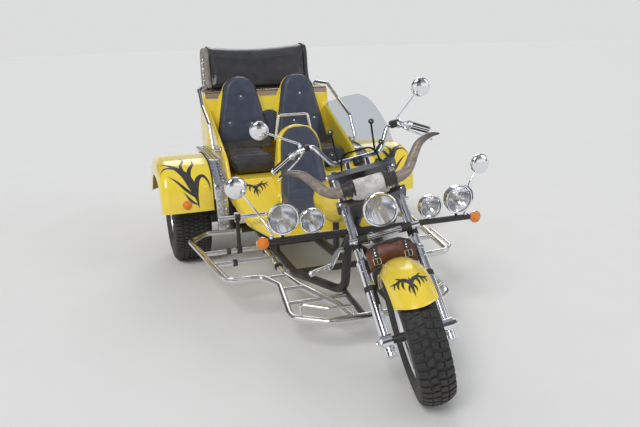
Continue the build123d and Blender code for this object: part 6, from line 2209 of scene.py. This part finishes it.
def exhaust_tips():
    """Rolled tips, clamps and weld rings on the tail pipes, end plugs and bolts on the bumper."""
    form, black = Form(), Form()
    for _, side in SIDES:
        at = np.array([side * 0.250, 1.79208, 0.300])
        form.lathe([(-0.0700, 0.0285), (-0.0700, 0.0335), (-0.066, 0.0350), (-0.010, 0.0350),
                    (-0.003, 0.0362), (0.0, 0.0340), (-0.002, 0.0310), (-0.010, 0.0300), (-0.060, 0.0295)],
                   at, (0, 1, 0), 52, wrap=True)
        for y, z in ((1.600, 0.340), (1.700, 0.300)):
            form.lathe([(-0.010, 0.0283), (-0.010, 0.0315), (-0.007, 0.0330), (0.007, 0.0330),
                        (0.010, 0.0315), (0.010, 0.0283)],
                       (side * 0.250, y, z), (0, 1, 0), 44, wrap=True)
            form.lathe([(-0.014, 0.0), (-0.014, 0.0045), (0.014, 0.0045), (0.014, 0.0)],
                       (side * 0.250, y, z + 0.0355), (1, 0, 0), 6)
        # A black disc across each pipe's bore a little inside the tip: soot, and painted shade of the
        # pipe's depth.
        black.lathe([(-0.050, 0.0), (-0.050, 0.0275), (-0.058, 0.0275), (-0.058, 0.0)], at, (0, 1, 0), 40)
        form.lathe([(0.0, 0.0), (0.0, 0.0090), (0.006, 0.0090), (0.008, 0.0060), (0.008, 0.0)],
                   (side * 0.300, 1.7872, 0.420), (0, 1, 0), 6)
        form.lathe([(-0.012, 0.0228), (-0.012, 0.0260), (-0.009, 0.0272), (0.009, 0.0272), (0.012, 0.0260),
                    (0.012, 0.0228)],
                   (side * 0.380, 1.650, 0.420), (0, 1, 0), 44, wrap=True)
    piece("exhaust_trim", form, "chrome", "frame", sharp=30)
    # The black discs in the bores: soot and painted shade.
    piece("exhaust_soot_and_shade", black, "black_plastic", "frame", sharp=30)


def hose_fittings():
    """Crimped ferrules and banjo bolts at the two ends of the brake hose."""
    form = Form()
    for x in (-0.100, 0.116):
        foot = on_fork(-0.040, 0.074, x)
        form.lathe([(0.0, 0.0), (0.0, 0.0115), (0.005, 0.0115), (0.005, 0.0102), (0.012, 0.0102),
                    (0.012, 0.0085), (0.030, 0.0078), (0.033, 0.0052)],
                   foot, STEER_UP, 6)
        form.lathe([(0.014, 0.0080), (0.016, 0.0092), (0.019, 0.0080), (0.021, 0.0090), (0.024, 0.0078)],
                   foot, STEER_UP, 24, wrap=True)
    piece("hose_ferrules", form, "chrome", "fork", sharp=25)


class TRIKE_OT_luggage(bpy.types.Operator):
    """Luggage roll with its end panels, chain and polished tray"""
    bl_idname = "trike.luggage"
    bl_label = "Luggage"

    def execute(self, context):
        luggage()
        roll_chain()
        shelf_tray()
        return {"FINISHED"}


class TRIKE_OT_fittings(bpy.types.Operator):
    """Tread strips, pegs, rests, collars, number plate, tail pipes' trim and hose ends"""
    bl_idname = "trike.fittings"
    bl_label = "Fittings"

    def execute(self, context):
        for label, side in SIDES:
            tread_strip(label, side)
        pegs()
        rests()
        tube_fittings()
        number_plate()
        exhaust_tips()
        hose_fittings()
        return {"FINISHED"}


class TRIKE_OT_engine(bpy.types.Operator):
    """Air-cooled flat engine in its bay"""
    bl_idname = "trike.engine"
    bl_label = "Engine"

    def execute(self, context):
        engine()
        return {"FINISHED"}


# The photograph's camera, as fitted to it: its heading from ahead, the dip and the roll in radians
CAMERA_AT, CAMERA_LENS = (-1.2941, -3.9464, 1.6525), 37.4896
CAMERA_TURN, CAMERA_DIP, CAMERA_ROLL = 0.316542555, 0.271159171, -0.0277061798
# Sky colours by height (position, level), and the suns (name, place, angle, power, tint)
SKY_FOOT, SKY_TOP = (0.78, 0.78, 0.78, 1), (0.30, 0.33, 0.38, 1)
SKY_STEPS = (0.10, 0.78), (0.22, 0.50), (0.34, 0.17), (0.62, 0.20)
SUNS = (
    ("key", (-3.4, -3.8, 5.4), 24.0, 1.45, (1, 0.98, 0.95)),
    ("fill", (4.6, -3.4, 3.6), 40.0, 0.45, (0.93, 0.96, 1)),
    ("rim", (1.8, 5.2, 4.2), 30.0, 0.55, (1, 1, 1)),
)


class TRIKE_OT_stage(bpy.types.Operator):
    """Floor, soft lights, pale surroundings and the camera at the photograph's view"""
    bl_idname = "trike.stage"
    bl_label = "Studio and camera"

    def execute(self, context):
        scene = context.scene
        scene.view_settings.view_transform = "Standard"
        floor_form = Form()
        ring = around(64)
        rows = np.array([0.0, 3.0, 8.0, 20.0, 60.0])[:, None]
        floor_form.sheet(np.stack([rows * np.cos(ring), rows * np.sin(ring), 0 * rows * ring], -1),
                         wrap_cols=True)
        mesh = bpy.data.meshes.new("floor")
        mesh.from_pydata(np.concatenate(floor_form.points).tolist(), [],
                         np.concatenate(floor_form.faces).tolist())
        pale = Finish("floor", look().backdrop, 0.85)
        speck = pale.between(pale.noise(3.0, 6.0, 0.6), 0.3, 0.7, 0.0, 0.25)
        pale.put("Base Color", pale.mix(speck, look().backdrop, (0.74, 0.735, 0.72)))
        mesh.materials.append(pale.material)
        floor = bpy.data.objects.new("floor", mesh)
        scene.collection.objects.link(floor)

        world = bpy.data.worlds.new("studio")
        scene.world = world
        world.use_nodes = True
        tree = world.node_tree
        background = tree.nodes["Background"]
        way = add(tree, "SeparateXYZ", {0: add(tree, "TexCoord").outputs["Generated"]}).outputs
        room = add(tree, "ValToRGB", {0: way[2]}).outputs[0]
        stops = room.node.color_ramp.elements
        stops[0].position, stops[0].color = 0.0, SKY_FOOT
        stops[1].position, stops[1].color = 1.0, SKY_TOP
        for position, level in SKY_STEPS:
            stops.new(position).color = (level, level, level * 1.03, 1)
        rays = add(tree, "LightPath").outputs
        sweep = calc(tree, "ARCTAN2", way[1], way[0])
        # Five bright windows round the room, as a glossy surface sees it
        windows = calc(tree, "SINE", calc(tree, "MULTIPLY_ADD", sweep, 5.0, 0.9))
        windows = between(tree, windows, -0.80, -0.35, 0.30, 1.20)
        lit = add(tree, "CombineXYZ", {0: windows, 1: windows, 2: windows}).outputs[0]
        room = blend_colours(tree, 1.0, room, lit, "MULTIPLY")
        seen = calc(tree, "ADD", rays["Is Glossy Ray"], rays["Is Transmission Ray"], clamp=True)
        colour = blend_colours(tree, seen, (0.44, 0.45, 0.47, 1), room)
        colour = blend_colours(tree, rays["Is Camera Ray"], colour, (0.716, 0.72, 0.72, 1))
        tree.links.new(colour, background.inputs[0])

        for name, place, angle, power, tint in SUNS:
            lamp = bpy.data.lights.new(name, "SUN")
            lamp.angle, lamp.energy, lamp.color = np.radians(angle), power, tint
            holder = bpy.data.objects.new(name, lamp)
            holder.location = place
            towards = Vector((0, -0.2, 0.5)) - Vector(place)
            holder.rotation_euler = towards.to_track_quat("-Z", "Y").to_euler()
            scene.collection.objects.link(holder)

        turn, dip, roll = CAMERA_TURN, CAMERA_DIP, CAMERA_ROLL
        ahead = Vector((np.cos(dip) * np.sin(turn), np.cos(dip) * np.cos(turn), -np.sin(dip)))
        right = Vector((np.cos(turn), -np.sin(turn), 0))
        above = right.cross(ahead)
        level = right * np.cos(roll) + above * np.sin(roll)
        above = above * np.cos(roll) - right * np.sin(roll)
        camera_data = bpy.data.cameras.new("camera")
        camera_data.sensor_width = 36.0
        camera_data.lens = CAMERA_LENS
        camera = bpy.data.objects.new("camera", camera_data)
        facing = Matrix((level, above, -ahead)).transposed().to_4x4()
        camera.matrix_world = Matrix.Translation(CAMERA_AT) @ facing
        scene.collection.objects.link(camera)
        scene.camera = camera
        return {"FINISHED"}


class TRIKE_OT_finishes(bpy.types.Operator):
    """Shared surface effects, and the finishes of the carried-over pieces"""
    bl_idname = "trike.finishes"
    bl_label = "Finishes"

    def execute(self, context):
        for make in (make_dust, make_grain, make_marks, make_orange_peel):
            make()
        for finish, nodes in KEPT.items():
            for node in nodes:
                for place in NODES[node].material_slots:
                    place.material = finish_of(finish)
        return {"FINISHED"}


OPERATORS = [TRIKE_OT_finishes, TRIKE_OT_body, TRIKE_OT_seats, TRIKE_OT_wheels, TRIKE_OT_lamps,
             TRIKE_OT_fork, TRIKE_OT_luggage, TRIKE_OT_fittings, TRIKE_OT_engine, TRIKE_OT_stage]


class TRIKE_PT_panel(bpy.types.Panel):
    """The trike's steps and its colours"""
    bl_label = "Trike"
    bl_idname = "TRIKE_PT_panel"
    bl_space_type = "VIEW_3D"
    bl_region_type = "UI"
    bl_category = "Trike"

    def draw(self, context):
        for name in TrikeLook.__annotations__:
            self.layout.prop(context.scene.trike_look, name)
        for operator in OPERATORS:
            self.layout.operator(operator.bl_idname)


def register():
    for cls in (TrikeLook, *OPERATORS, TRIKE_PT_panel):
        bpy.utils.register_class(cls)
    bpy.types.Scene.trike_look = bpy.props.PointerProperty(type=TrikeLook)


def unregister():
    del bpy.types.Scene.trike_look
    for cls in (TRIKE_PT_panel, *reversed(OPERATORS), TrikeLook):
        bpy.utils.unregister_class(cls)


def main():
    register()
    for operator in OPERATORS:
        section, name = operator.bl_idname.split(".")
        getattr(getattr(bpy.ops, section), name)()


if __name__ == "__main__":
    main()
